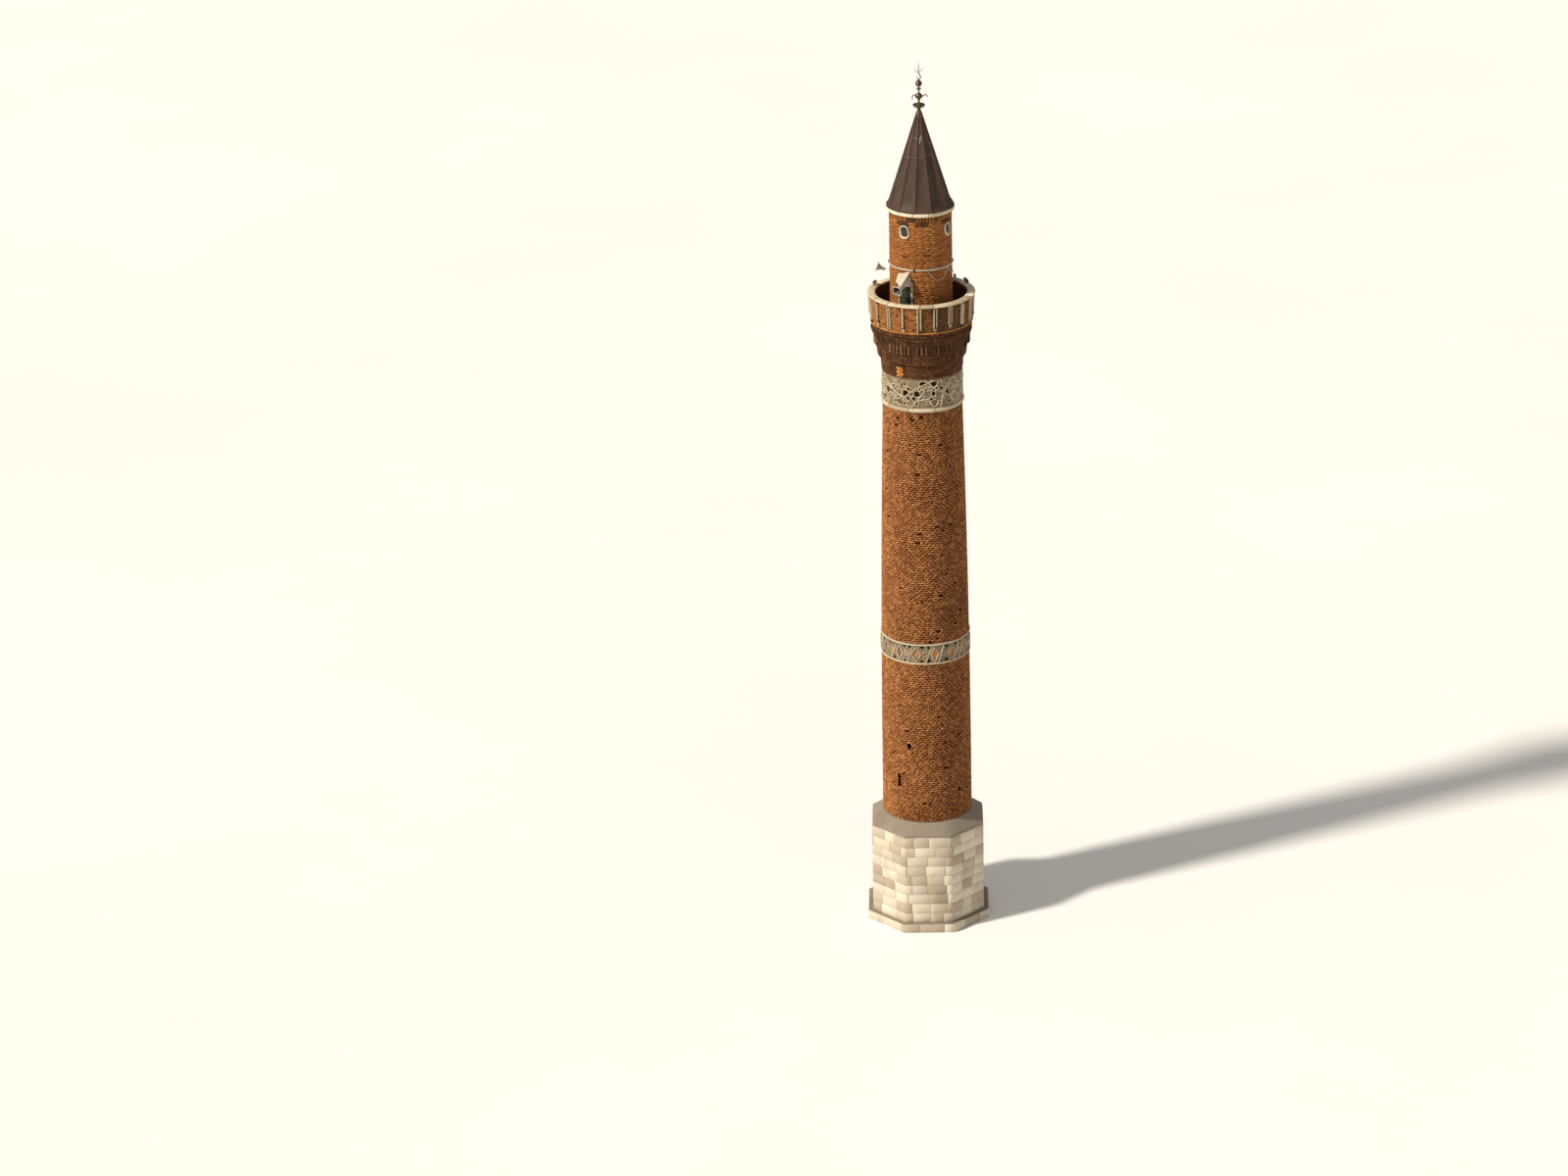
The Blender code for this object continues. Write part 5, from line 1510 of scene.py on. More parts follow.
iron.append(carried([door_place @ Vector(point) for point in handle], round_outline(0.006), closed=True))
iron.append(moved(bolt_head(0.018, 0.016), door_place @ Matrix.Translation((0.15, LEAF_FACE, 0.99))))
block_tall = (DOOR_TALL - POST) / FRAME_STONES
frame_middle = FRAME_FACE - FRAME_DEPTH / 2
frame_stones = []
for side in (-1, 1):
    for k in range(FRAME_STONES):
        block = soft_box(POST - 0.002, FRAME_DEPTH, block_tall - 0.006, 0.008, tone=random.random())
        across = side * (DOOR_WIDTH / 2 - POST / 2 - 0.001)
        place = Matrix.Translation((across, frame_middle, (k + 0.5) * block_tall + 0.001))
        frame_stones.append(moved(block, door_place @ place))
lintel = soft_box(DOOR_WIDTH - 0.004, FRAME_DEPTH, POST - 0.004, 0.008, tone=0.6)
lintel_place = door_place @ Matrix.Translation((0, frame_middle, DOOR_TALL - POST / 2))
frame_stones.append(moved(lintel, lintel_place))
add_piece("door_frame_stones", frame_stones, strap_finish, ["door_frame"], sharp=40)
print("door:", BOARDS, "boards")

# %% [markdown]
# ## The hood over the door
#
# A small gabled hood of bent sheet keeps rain off the door. Its two slopes meet in a ridge that
# is covered by a rounded strip, its edges are hemmed, and a curved bracket under each side helps
# to carry it. Its left slope is painted pale as painted light and its right slope brown as painted shade.

# %% Door hood
HOOD_CORNERS = {
    "left": ((-0.31, 1.16, 26.93), (-0.20, 1.52, 26.71)),
    "ridge": ((0.20, 1.18, 27.078), (0.11, 1.69, 26.65)),
    "right": ((0.28, 1.165, 26.88), (0.38, 1.45, 26.62)),
}
HOOD_CROWN = 0.012
SHEET = 0.014
HEM_RADIUS = 0.011
# Painted light and shade: the left slope takes the pale end of the hood tones, the right slope the brown end.
LIT_SLOPE_PAINTED_TONE = 0.95
SHADE_SLOPE_PAINTED_TONE = 0.0
HOOD_TONES = ((0.22, 0.155, 0.115), (0.42, 0.35, 0.26), (0.62, 0.55, 0.43))
hood_finish = metal_finish("cream_sheet_with_painted_shade", HOOD_TONES, (0.22, 0.17, 0.13), 0.0, 0.55, 0.07, 0.45)
hood_place = facing(DOOR_BEARING)


def hood_point(side, share):
    """A point of the hood's sheet: side from -1 to 1 across, share from 0 at the wall to 1."""
    ridge, eave = HOOD_CORNERS["ridge"], HOOD_CORNERS["left" if side < 0 else "right"]
    ridge_point = Vector(ridge[0]).lerp(Vector(ridge[1]), share)
    eave_point = Vector(eave[0]).lerp(Vector(eave[1]), share)
    crown = HOOD_CROWN * sin(pi * abs(side)) * sin(pi * share)
    return ridge_point.lerp(eave_point, abs(side)) + Vector((0, 0, crown))


columns, rows = 12, 8
sheet_points, sheet_tones = [], []
for under in (0.0, SHEET):
    for i in range(columns + 1):
        for j in range(rows + 1):
            sheet_points.append(hood_point(2 * i / columns - 1, j / rows) - Vector((0, 0, under + 0.002)))
        sheet_tones += [LIT_SLOPE_PAINTED_TONE if i <= columns // 2 else SHADE_SLOPE_PAINTED_TONE] * (rows + 1)
layer = (columns + 1) * (rows + 1)
sheet_faces = skin(rows + 1, columns + 1, open_rings=True)
sheet_faces += skin(rows + 1, columns + 1, layer, open_rings=True, inside_out=True)
rim = grid_rim(columns + 1, rows + 1)
sheet_faces += [(here, there, layer + there, layer + here) for here, there in zip(rim, rim[1:] + rim[:1])]
hood = [moved((sheet_points, sheet_faces, sheet_tones), hood_place)]
ridge = [hood_place @ (hood_point(0.0, k / 8) - Vector((0, 0, 0.004))) for k in range(9)]
hood.append(carried(ridge, strap_outline(0.060, 0.024), tone=1.0))
for side in (-1.0, 1.0):
    inward = Vector((0.012 * side, 0, SHEET))
    eave = [hood_place @ (hood_point(side, k / 6) - inward) for k in range(7)]
    hood.append(carried(eave, round_outline(HEM_RADIUS), tone=0.7))
front = [hood_place @ (hood_point(2 * k / 12 - 1, 1.0) - Vector((0, 0.012, SHEET))) for k in range(13)]
hood.append(carried(front, round_outline(HEM_RADIUS), tone=0.8))
add_piece("hood_sheet", hood, hood_finish, ["door_hood"], sharp=35)
for side in (-1, 1):
    turns = [pi / 2 * k / 8 for k in range(9)]
    curve = [(side * 0.29, 1.12 + 0.26 * sin(turn), 26.50 + 0.18 * (1 - cos(turn))) for turn in turns]
    iron.append(carried([hood_place @ Vector(point) for point in curve], round_outline(0.012)))
print("hood tip:", HOOD_CORNERS["ridge"][1])

# %% [markdown]
# ## Strap and cable
#
# A thin flat band ties the drum, with bolted clamps on it, and it stands a little proud of the
# bricks, which gives the thin shadow under it. A cable is clipped to the wall below it and sags
# between two clips. It is fixed wiring and not a free cord.

# %% Strap and cable
STRAP_HEIGHT = 27.15
STRAP_WIDE = 0.05
STRAP_PROUD = 0.029
CLAMPS = (-88, -12, 90, 168, 246)
CABLE_RADIUS = 0.011
CABLE = ((14, 27.02), (20, 26.88), (27, 26.74), (34, 26.68), (42, 26.74), (50, 26.92), (56, 27.10))
CABLE_END = ((58, 27.10), (65, 26.92), (72, 26.80), (78, 26.74), (84, 26.78))
STRAP_PAINT_TONES = ((0.42, 0.38, 0.31), (0.60, 0.55, 0.46))
strap_paint = metal_finish("galvanised_strap", STRAP_PAINT_TONES, (0.20, 0.15, 0.11), 0.35, 0.5, 0.06, 0.5)
strap_section = [(-0.5 * STRAP_WIDE, 0.0), (-0.5 * STRAP_WIDE, 0.024), (-0.38 * STRAP_WIDE, STRAP_PROUD),
                 (0.38 * STRAP_WIDE, STRAP_PROUD), (0.5 * STRAP_WIDE, 0.024), (0.5 * STRAP_WIDE, 0.0)]
strap_line = [
    on_wall(DRUM_RADIUS + 0.0005, bearing, STRAP_HEIGHT + 0.004 * sin(radians(3 * bearing)))
    for bearing in range(0, 360, 3)
]
fixings = [carried(strap_line, strap_section, from_axis, closed=True, tone=0.8)]
for cable in (CABLE, CABLE_END):
    line = [on_wall(DRUM_RADIUS + 0.012, bearing, height) for bearing, height in cable]
    fixings.append(carried(smoothed(line, 4), round_outline(CABLE_RADIUS), from_axis, tone=0.9))
    for bearing, height in (cable[0], cable[-1]):
        clip = soft_box(0.035, 0.03, 0.05, 0.006, tone=0.2)
        fixings.append(moved(clip, facing(bearing, DRUM_RADIUS + 0.014, height)))
add_piece("drum_strap_and_cable", fixings, strap_paint, ["drum_strap"], sharp=40)
for bearing in CLAMPS:
    clamp = soft_box(0.09, 0.045, 0.075, 0.008, tone=0.3)
    iron.append(moved(clamp, facing(bearing, DRUM_RADIUS + 0.020, STRAP_HEIGHT)))
    iron += [
        moved(bolt_head(0.014, 0.014), facing(bearing + turn, DRUM_RADIUS + 0.040, STRAP_HEIGHT))
        for turn in (-1.2, 1.2)
    ]
IRON_TONES = ((0.020, 0.018, 0.015), (0.045, 0.036, 0.028))
iron_finish = metal_finish("black_iron", IRON_TONES, (0.13, 0.055, 0.025), 0.6, 0.5)
add_piece("small_ironwork", iron, iron_finish, sharp=40)

# %% [markdown]
# ## The cornice
#
# Fourteen pale blocks with a round nose carry the roof. Their joints are dark, and the block
# faces are rubbed and stained.

# %% Cornice
CORNICE_JOINTS = 14
cornice = half_round(1.12, 1.308, DRUM_TOP + 0.002, 29.397, flat=0.45)
ring_of_stones("cornice_stones", cornice, CORNICE_JOINTS, -13.7, coping_finish,
               ["drum_cornice"], uneven=0.12, gap=0.35)

# %% [markdown]
# ## The roof
#
# Twelve tapering sheets of brown metal make the cone. Where two sheets meet, their edges are
# turned up together into a standing seam. Each sheet is slightly hollow between its seams, and it
# is made of two or three lengths that lap over each other, so water runs off. At the foot the
# sheets turn outward as a drip edge and bow out to meet the round cornice. One sheet is made with
# loops and repeated twelve times.

# %% Cone sheets
SHEETS = 12
FIRST_SEAM = -9.5
CONE_LINE = ((1.285, 29.403), (1.255, 29.43), (1.20, 29.50), (1.16, 29.57), (1.140, 29.64), (0.118, 32.86))
SEAM_PROUD = 0.022
HOLLOW = 0.035
HOLLOW_FROM = 0.35
FOOT_BOW = 0.030
LAPS = ((31.42, 32.10), (31.5,), (30.6, 31.9), (31.2,), (30.9, 31.9), (31.3,), (30.7, 31.8), (31.4,),
        (31.1, 32.1), (31.46, 32.0), (31.40,), (31.42, 32.12))
LAP_TALL = 0.055
LAP_PROUD = 0.010
SHEET_COLUMNS = 9
FOOT_LEVELS = (29.403, 29.43, 29.47, 29.52, 29.56, 29.60, 29.64)
HIGH_LEVELS = 26
SEAM_SECTION = ((0.010, -0.02), (0.009, SEAM_PROUD), (0.0, SEAM_PROUD + 0.004), (-0.009, SEAM_PROUD),
                (-0.010, -0.02))
SEAM_SHAKE = 0.0015
HOOK = ((0.50, 32.22), (0.505, 32.14), (0.515, 32.06), (0.52, 32.004), (0.535, 31.972), (0.56, 31.956),
        (0.585, 31.972), (0.59, 31.996))
HOOK_BEARING = 5.5
HOOK_TURN = 0.88
ROOF_TONES = ((0.038, 0.024, 0.016), (0.055, 0.034, 0.023), (0.085, 0.050, 0.036))
roof_finish = metal_finish("brown_roof_sheet", ROOF_TONES, (0.105, 0.066, 0.040), 0.0, 0.55, 0.11, 0.45,
                           dent=0.004, shine=0.22)


def cone_radius(height):
    """The radius of the cone at its corners, with the turned-out foot."""
    for (low_radius, low), (high_radius, high) in zip(CONE_LINE, CONE_LINE[1:]):
        if height <= high:
            return low_radius + (high_radius - low_radius) * (height - low) / (high - low)
    return CONE_LINE[-1][0]


def cone_point(corner, across, height, proud=0.0):
    """A point of a sheet: across runs from 0 at its left seam to 1 at its right seam."""
    left, right = (FIRST_SEAM + 360 / SHEETS * (corner + side) for side in (0, 1))
    radius = cone_radius(height)
    flat = on_wall(radius, left, height).lerp(on_wall(radius, right, height), across)
    out = from_axis(flat)
    flatter = min(1.0, (height - CONE_LINE[0][1]) / HOLLOW_FROM)
    bow = 4 * across * (1 - across) * radius
    sag = (HOLLOW * flatter - FOOT_BOW * (1 - flatter)) * bow
    return flat + out * (proud - sag + 0.012)


foot_end, cone_tip = FOOT_LEVELS[-1], CONE_LINE[-1][1]
heights = [*FOOT_LEVELS]
heights += [foot_end + (cone_tip - foot_end) * k / HIGH_LEVELS for k in range(1, HIGH_LEVELS + 1)]
sheets, seams, nails = [], [], []
for corner in range(SHEETS):
    levels = [(height, 0.0) for height in heights]
    for lap in LAPS[corner]:
        levels = [level for level in levels if abs(level[0] - lap) > 0.06]
        levels += [(lap - 0.001, LAP_PROUD), (lap, 0.0), (lap - LAP_TALL, LAP_PROUD)]
    levels.sort()
    sheet_tone = random.random()
    points, tones = [], []
    for height, lift in levels:
        row = [cone_point(corner, j / (SHEET_COLUMNS - 1), height, lift) for j in range(SHEET_COLUMNS)]
        points += row
        tones += [sheet_tone * 0.6 + (0.35 if height > LAPS[corner][0] else 0.1)] * SHEET_COLUMNS
    sheets.append((points, skin(SHEET_COLUMNS, len(levels), open_rings=True, inside_out=True), tones))
    seam_line = [cone_point(corner, 0.0, height, 0.0) for height in heights]
    for bend in range(len(seam_line)):
        seam_line[bend] += Vector(random.normal(0, SEAM_SHAKE, 3))
    seams.append(carried(seam_line, SEAM_SECTION, from_axis, tone=random.uniform(0.5, 1.0)))
    for lap in LAPS[corner]:
        for across in (0.15, 0.38, 0.62, 0.85):
            spot = cone_point(corner, across, lap - 0.03, 0.012)
            turn = facing(degrees(atan2(spot.x, -spot.y)), 0.0, 0.0).to_3x3().to_4x4()
            nails.append(moved(bolt_head(0.011, 0.007), Matrix.Translation(spot) @ turn))
add_piece("cone_sheets", sheets, roof_finish, ["cone_roof"], sharp=35, tidy_normals=False)
add_piece("cone_seams", seams, roof_finish, sharp=45)
hook = [on_wall(radius, HOOK_BEARING - HOOK_TURN * k, height) for k, (radius, height) in enumerate(HOOK)]
nails.append(carried(hook, round_outline(0.012), from_axis))
add_piece("cone_nails_and_hook", nails, strap_paint, sharp=40)
print(SHEETS, "sheets and", len(nails) - 1, "nails")

# %% [markdown]
# ## The finial
#
# The finial is cast bronze, dark with age and bright where it is rubbed. Its dish, bulb, cup and
# ball are turned from profiles. Its curled arms are rods that taper toward their tips, drawn
# through a few points with a smooth curve.

# %% Finial
BRONZE_TONES = ((0.050, 0.036, 0.022), (0.10, 0.072, 0.042))
bronze_finish = metal_finish("dark_bronze_cast", BRONZE_TONES, (0.32, 0.25, 0.15), 0.85, 0.30, 0.03, 0.30)
LEFT_ARM = ((-0.05, 33.62), (-0.14, 33.67), (-0.21, 33.65), (-0.25, 33.57), (-0.235, 33.50))
RIGHT_ARM = ((0.05, 33.61), (0.15, 33.62), (0.22, 33.68), (0.29, 33.66), (0.315, 33.58))
KNOT = ((0, 34.20), (0.02, 34.27), (0.072, 34.35), (0.05, 34.43), (0, 34.49), (0, 34.545))
KNOT_LEAF = ((0.01, 34.26), (-0.04, 34.29), (-0.075, 34.37))
LEAF_RIBS = 8
LEAF_RIB = ((0.085, 33.535), (0.128, 33.585), (0.139, 33.625), (0.130, 33.665))
BALL_RADIUS = 0.127
BALL_MIDDLE = 34.115
HORN_RADIUS = 0.133
HORN_MIDDLE = 34.6903
HORN_TURN = 97


def smooth_line(knots, steps=6):
    """A smooth curve through points given as (x, z), in the plane that faces the front."""
    return smoothed([Vector((x, 0.0, z)) for x, z in knots], steps)


def curled_rod(knots, radius, tip_share):
    line = smooth_line(knots)
    shares = [1 + (tip_share - 1) * k / (len(line) - 1) for k in range(len(line))]
    return carried(line, round_outline(radius, 10), lambda point: Vector((0, -1, 0)), tone=0.6, shares=shares)


def turned_curve(knots, steps=5, sides=40, tone=0.5):
    """A turned shape whose profile is a smooth curve through the given points."""
    line = smooth_line(knots, steps)
    return turned([(max(point.x, 0.002), point.z) for point in line], sides, tone=tone)


cap = [(0.150, 32.84), (0.156, 32.87), (0.150, 32.89), (0.125, 32.96), (0.085, 33.06), (0.052, 33.14)]
dish = [(0.045, 33.12), (0.06, 33.15), (0.12, 33.18), (0.21, 33.23), (0.234, 33.29), (0.228, 33.309),
        (0.205, 33.30), (0.16, 33.265), (0.10, 33.25), (0.078, 33.28), (0.055, 33.34), (0.045, 33.40),
        (0.045, 33.4995)]
bulb = [(0.045, 33.5003), (0.058, 33.515), (0.095, 33.545), (0.134, 33.60), (0.132, 33.65), (0.105, 33.70),
        (0.062, 33.74), (0.030, 33.79), (0.022, 33.83), (0.030, 33.85), (0.060, 33.872), (0.086, 33.905),
        (0.084, 33.935), (0.055, 33.937), (0.020, 33.928), (0.020, 33.9495)]
ball_turns = [pi * (0.06 + 0.88 * k / 8) for k in range(9)]
ball_line = [(0.020, 33.9503), (0.020, 33.985)]
ball_line += [(BALL_RADIUS * sin(turn), BALL_MIDDLE - BALL_RADIUS * cos(turn)) for turn in ball_turns]
ball_line += [(0.018, 34.25)]
# Painted highlight: the cap takes the palest bronze tone, as if lit.
add_piece("finial_cap_and_dish", [turned_curve(cap, tone=1.0), turned_curve(dish)], bronze_finish,
          ["finial_dish"], sharp=50)
flower = [turned_curve(bulb), curled_rod(LEFT_ARM, 0.024, 0.72), curled_rod(RIGHT_ARM, 0.024, 0.72)]
for k in range(LEAF_RIBS):
    turn = Matrix.Rotation(tau * k / LEAF_RIBS, 4, "Z")
    rib = [turn @ Vector((radius, 0, z)) for radius, z in LEAF_RIB]
    flower.append(carried(rib, round_outline(0.008, 6), from_axis, tone=0.8, shares=(0.5, 1.0, 1.0, 0.4)))
add_piece("finial_bulb_and_arms", flower, bronze_finish, ["finial_flower_ball"], sharp=50)
knot = [turned_curve(ball_line, 3), curled_rod(KNOT, 0.024, 0.72), curled_rod(KNOT_LEAF, 0.022, 0.6)]
knot.append(turned([(0.1265, 34.108), (0.131, 34.115), (0.1265, 34.122)], 40))
add_piece("finial_ball_and_knot", knot, bronze_finish, ["finial_upper_ball"], sharp=50)
horns = []
for side in (-1, 1):
    turns = [radians(-90 + side * HORN_TURN * k / 12) for k in range(13)]
    line = [Vector((HORN_RADIUS * cos(turn), 0.0, HORN_MIDDLE + HORN_RADIUS * sin(turn))) for turn in turns]
    shares = [1.0 - 0.55 * (k / 12) ** 2 for k in range(13)]
    horns.append(carried(line, round_outline(0.0122, 10), lambda point: Vector((0, -1, 0)), shares=shares))
    tip = Matrix.Translation(line[-1] - Vector((0, 0, 0.008)))
    horns.append(moved(soft_box(0.030, 0.022, 0.030, 0.009), tip))
spike = [(0.016, 34.5456), (0.015, 34.70), (0.011, 34.80), (0.006, 34.92), (0.0025, 34.985), (0.0015, 34.997)]
add_piece("finial_crescent_and_spike", [*horns, turned_curve(spike, 3, 16)], bronze_finish,
          ["finial_crescent"], sharp=50)

# %% [markdown]
# ## Loudspeakers
#
# Two horn loudspeakers hang on arms. A horn is a flare with a square mouth and round corners,
# narrow at the back where its driver sits. Its rim is rolled, and its inside is painted near black
# as shade.

# %% Loudspeakers
SPEAKER_LENGTH = 0.34
SPEAKER_MOUTH = 0.190
SPEAKER_THROAT = 0.055
# Each horn: where its mouth is (bearing, distance from the drum, height), where it looks (bearing and
# tilt), and where its arm meets the wall (bearing and rise).
SPEAKERS = {
    "loudspeaker_front": ((-34.5, 0.42, 26.39), (-37, -18), (-29, 0.40)),
    "loudspeaker_back": ((-100, 0.50, 26.85), (-95, 20), (-100, 0.0)),
}
HORN_TONES = ((0.40, 0.37, 0.31), (0.58, 0.54, 0.46), (0.74, 0.70, 0.61))
horn_finish = metal_finish("grey_horn_plastic", HORN_TONES, (0.30, 0.26, 0.20), 0.0, 0.45, 0.05, 0.35)
# Painted shade: near-black tones for the inside of the flare and the plug, standing for the shade in the
# horn.
THROAT_SHADE_TONES = ((0.010, 0.018, 0.018), (0.02, 0.03, 0.03))
throat_shade_finish = metal_finish("horn_throat_painted_shade", THROAT_SHADE_TONES, (0.05, 0.06, 0.055), 0.0, 0.5)
# Rings of the rim, the driver and the phase plug: half their width and how far out they lie.
RIM_RINGS = ((0.022, -0.016), (0.004, -0.014), (0.0, -0.002), (0.006, 0.008), (0.020, 0.006), (0.026, -0.010))
DRIVER_RINGS = ((0.02, -0.339), (0.048, -0.336), (0.060, -0.32), (0.060, -0.27), (0.068, -0.268),
                (0.068, -0.25), (0.05, -0.245))
PLUG_RINGS = ((0.045, -0.20), (0.035, -0.14), (0.010, -0.11))
STAY_ENDS = ((0.24, -25, 26.56), (0.02, -18, 26.80))


def rounded_square(half, depth, sides=32, power=4.0):
    loop = []
    for k in range(sides):
        turn = tau * (k + 0.5) / sides
        stretch = (abs(cos(turn)) ** power + abs(sin(turn)) ** power) ** (-1 / power)
        loop.append((half * stretch * cos(turn), depth, half * stretch * sin(turn)))
    return loop


def loops_joined(loops, tone, cap_first=True, cap_last=True):
    count = len(loops[0])
    faces = skin(count, len(loops), inside_out=True)
    if cap_first:
        faces.append(tuple(range(count)))
    if cap_last:
        faces.append(tuple(range((len(loops) - 1) * count, len(loops) * count)))
    return [point for loop in loops for point in loop], faces, tone


for name, ((bearing, reach, height), (looks, nod), (arm_bearing, arm_rise)) in SPEAKERS.items():
    mouth = Matrix.Translation(on_wall(DRUM_RADIUS + reach, bearing, height))
    aim = mouth @ facing(looks) @ Matrix.Rotation(radians(nod), 4, "X")
    flare = []
    for k in range(10):
        share = k / 9
        half = SPEAKER_THROAT + (SPEAKER_MOUTH - 0.022 - SPEAKER_THROAT) * share**1.8
        flare.append(rounded_square(half, -SPEAKER_LENGTH * 0.72 * (1 - share), power=2 + 2 * share))
    rim_loops = [rounded_square(SPEAKER_MOUTH - inward, out) for inward, out in RIM_RINGS]
    driver = [rounded_square(half, out, power=2) for half, out in DRIVER_RINGS]
    shapes = [
        moved(loops_joined(flare, 0.35, True, False), aim),
        moved(loops_joined(rim_loops, 0.95, False, False), aim),
        moved(loops_joined(driver, 0.1), aim),
    ]
    throat_place = aim @ Vector((0, -SPEAKER_LENGTH * 0.8, 0))
    root_height = throat_place.z + arm_rise * 0.75
    root_place = on_wall(DRUM_RADIUS - 0.03, arm_bearing, root_height)
    shapes.append(carried([root_place, throat_place], round_outline(0.019), tone=0.9))
    plate_place = facing(arm_bearing, DRUM_RADIUS + 0.004, root_height)
    plate = moved(soft_box(0.11, 0.012, 0.13, 0.004, tone=0.6), plate_place)
    bolts_place = facing(arm_bearing, DRUM_RADIUS + 0.009, root_height)
    bolts = [
        moved(bolt_head(0.010, 0.010, 0.2), bolts_place @ Matrix.Translation((x, 0, z)))
        for x in (-0.035, 0.035)
        for z in (-0.045, 0.045)
    ]
    turns = [pi * k / 8 - pi / 2 for k in range(9)]
    yoke = [aim @ Vector((0.075 * sin(turn), -0.26 - 0.05 * cos(turn), 0)) for turn in turns]
    shapes += [plate, *bolts, carried(yoke, strap_outline(0.03, 0.006), tone=0.7)]
    if name == "loudspeaker_front":
        stay = [aim @ Vector((0.17, 0.0, 0.05))]
        stay += [on_wall(DRUM_RADIUS + out, turn, level) for out, turn, level in STAY_ENDS]
        shapes.append(carried(stay, round_outline(0.008), tone=1.0))
    add_piece(f"{name}_horn", shapes, horn_finish, [name], sharp=45)
    # Painted shade: a near-black copy of the flare, just inside it, and the plug.
    cone_loops = [[(x * 0.97, y + 0.004, z * 0.97) for x, y, z in loop] for loop in flare]
    plug = [rounded_square(half, out, power=2) for half, out in PLUG_RINGS]
    throat = [moved(loops_joined(cone_loops, 0.5, True, False), aim), moved(loops_joined(plug, 0.9), aim)]
    add_piece(f"{name}_throat", throat, throat_shade_finish, sharp=50)

# %% [markdown]
# ## Floodlights
#
# Small floodlights are clamped on the coping and aimed at the drum. Each is a cast case with
# cooling ribs behind, a glass front and a bent bracket.

# %% Floodlights
# Each floodlight: its bearing, how far it leans back, and its width, depth and height.
FLOODLIGHTS = {
    "floodlight_right": (115, 35, 0.24, 0.09, 0.16),
    "floodlight_left": (-111, 45, 0.15, 0.12, 0.13),
    "floodlight_back": (137, 10, 0.08, 0.07, 0.12),
}
LAMP_RADIUS = 1.90
LAMP_LIFT = 0.12
LAMP_TONES = {
    "floodlight_right": ((0.015, 0.015, 0.014), (0.035, 0.034, 0.030)),
    "floodlight_left": ((0.16, 0.055, 0.045), (0.24, 0.09, 0.07)),
    "floodlight_back": ((0.020, 0.020, 0.018), (0.045, 0.044, 0.040)),
}
for name, (bearing, lean, wide, deep, tall) in FLOODLIGHTS.items():
    case_finish = metal_finish(f"{name}_case", LAMP_TONES[name], (0.10, 0.085, 0.07), 0.2, 0.4, 0.03, 0.4)
    seat = facing(bearing, LAMP_RADIUS, COPING_TOP)
    head = seat @ Matrix.Translation((0, 0, LAMP_LIFT)) @ Matrix.Rotation(radians(lean), 4, "X")
    case = soft_box(wide, deep * 0.7, tall, 0.012, 0.3)
    shapes = [moved(case, head @ Matrix.Translation((0, -deep * 0.1, 0)))]
    ribs = max(3, round(wide / 0.03))
    for k in range(ribs):
        rib = soft_box(0.006, deep * 0.35, tall * 0.8, 0.002, 0.8)
        across = (k + 0.5) / ribs * wide * 0.9 - wide * 0.45
        shapes.append(moved(rib, head @ Matrix.Translation((across, deep * 0.35, 0))))
    bezel = soft_box(wide * 0.98, 0.012, tall * 0.98, 0.005, 0.9)
    shapes.append(moved(bezel, head @ Matrix.Translation((0, -deep * 0.46, 0))))
    for side in (-1, 1):
        beside = side * (wide / 2 + 0.006)
        bends = ((side * wide * 0.2, 0, 0.004), (beside, 0, 0.03), (beside, 0, LAMP_LIFT))
        leg = [seat @ Vector(bend) for bend in bends]
        shapes.append(carried(leg, [(x * 1.5, y * 0.5) for x, y in round_outline(0.010)], tone=0.5))
    shapes.append(moved(bolt_head(0.018, 0.014, 0.7), seat @ Matrix.Rotation(radians(90), 4, "X")))
    add_piece(f"{name}_lamp", shapes, case_finish, [name], sharp=40)
    pane = soft_box(wide * 0.82, 0.006, tall * 0.78, 0.002)
    pane_place = head @ Matrix.Translation((0, -deep * 0.46 - 0.008, 0))
    add_piece(f"{name}_glass", [moved(pane, pane_place)], glass_finish, sharp=40)

# %% [markdown]
# ## The stone foot
#
# The foot is an eight-sided base of cut stone on a low plinth, with a collar that turns it round.
# A cut stone shows as a stone through its joints and its eased edges, so each one is a small grid
# whose border is set back. The same recipe lays stones on the flat sides and round the corners,
# because the wall is given as a function of bearing, height and how far out.

# %% Stone helpers
BASE_APOTHEM = 2.20
PLINTH_APOTHEM = 2.40
BASE_FOOT = 0.35
BASE_TOP = 4.00
COLLAR_TOP = 4.50
COLLAR_RADIUS = 1.80
STONE_DEPTH = 0.025
STONE_EASE = 0.016
STONE_TONES = ((0.37, 0.31, 0.23), (0.46, 0.40, 0.31), (0.55, 0.49, 0.39), (0.62, 0.56, 0.45))
stone_finish = masonry_finish("cut_stone_face", STONE_TONES, (0.60, 0.54, 0.46), 0.03, 0.008, stain_size=0.8)
mortar_finish = masonry_finish("stone_mortar", ((0.20, 0.17, 0.13), (0.28, 0.24, 0.19)), (0.7, 0.7, 0.7))
CORNERS = [22.5 + 45 * k for k in range(8)]


def octagon_reach(apothem, bearing):
    """How far the flat side of an octagon is from the axis at a bearing."""
    return apothem / cos(radians((bearing + 22.5) % 45 - 22.5))


def base_wall(bearing, height, out):
    return on_wall(octagon_reach(BASE_APOTHEM - STONE_DEPTH + out, bearing), bearing, height)


def plinth_wall(bearing, height, out):
    return on_wall(octagon_reach(PLINTH_APOTHEM - STONE_DEPTH + out, bearing), bearing, height)


def collar_wall(bearing, height, out):
    share = min(1.0, (height - BASE_TOP) / (COLLAR_TOP - 0.12 - BASE_TOP))
    flat = octagon_reach(BASE_APOTHEM - STONE_DEPTH, bearing)
    return on_wall(flat + (COLLAR_RADIUS - STONE_DEPTH - flat) * share + out, bearing, height)


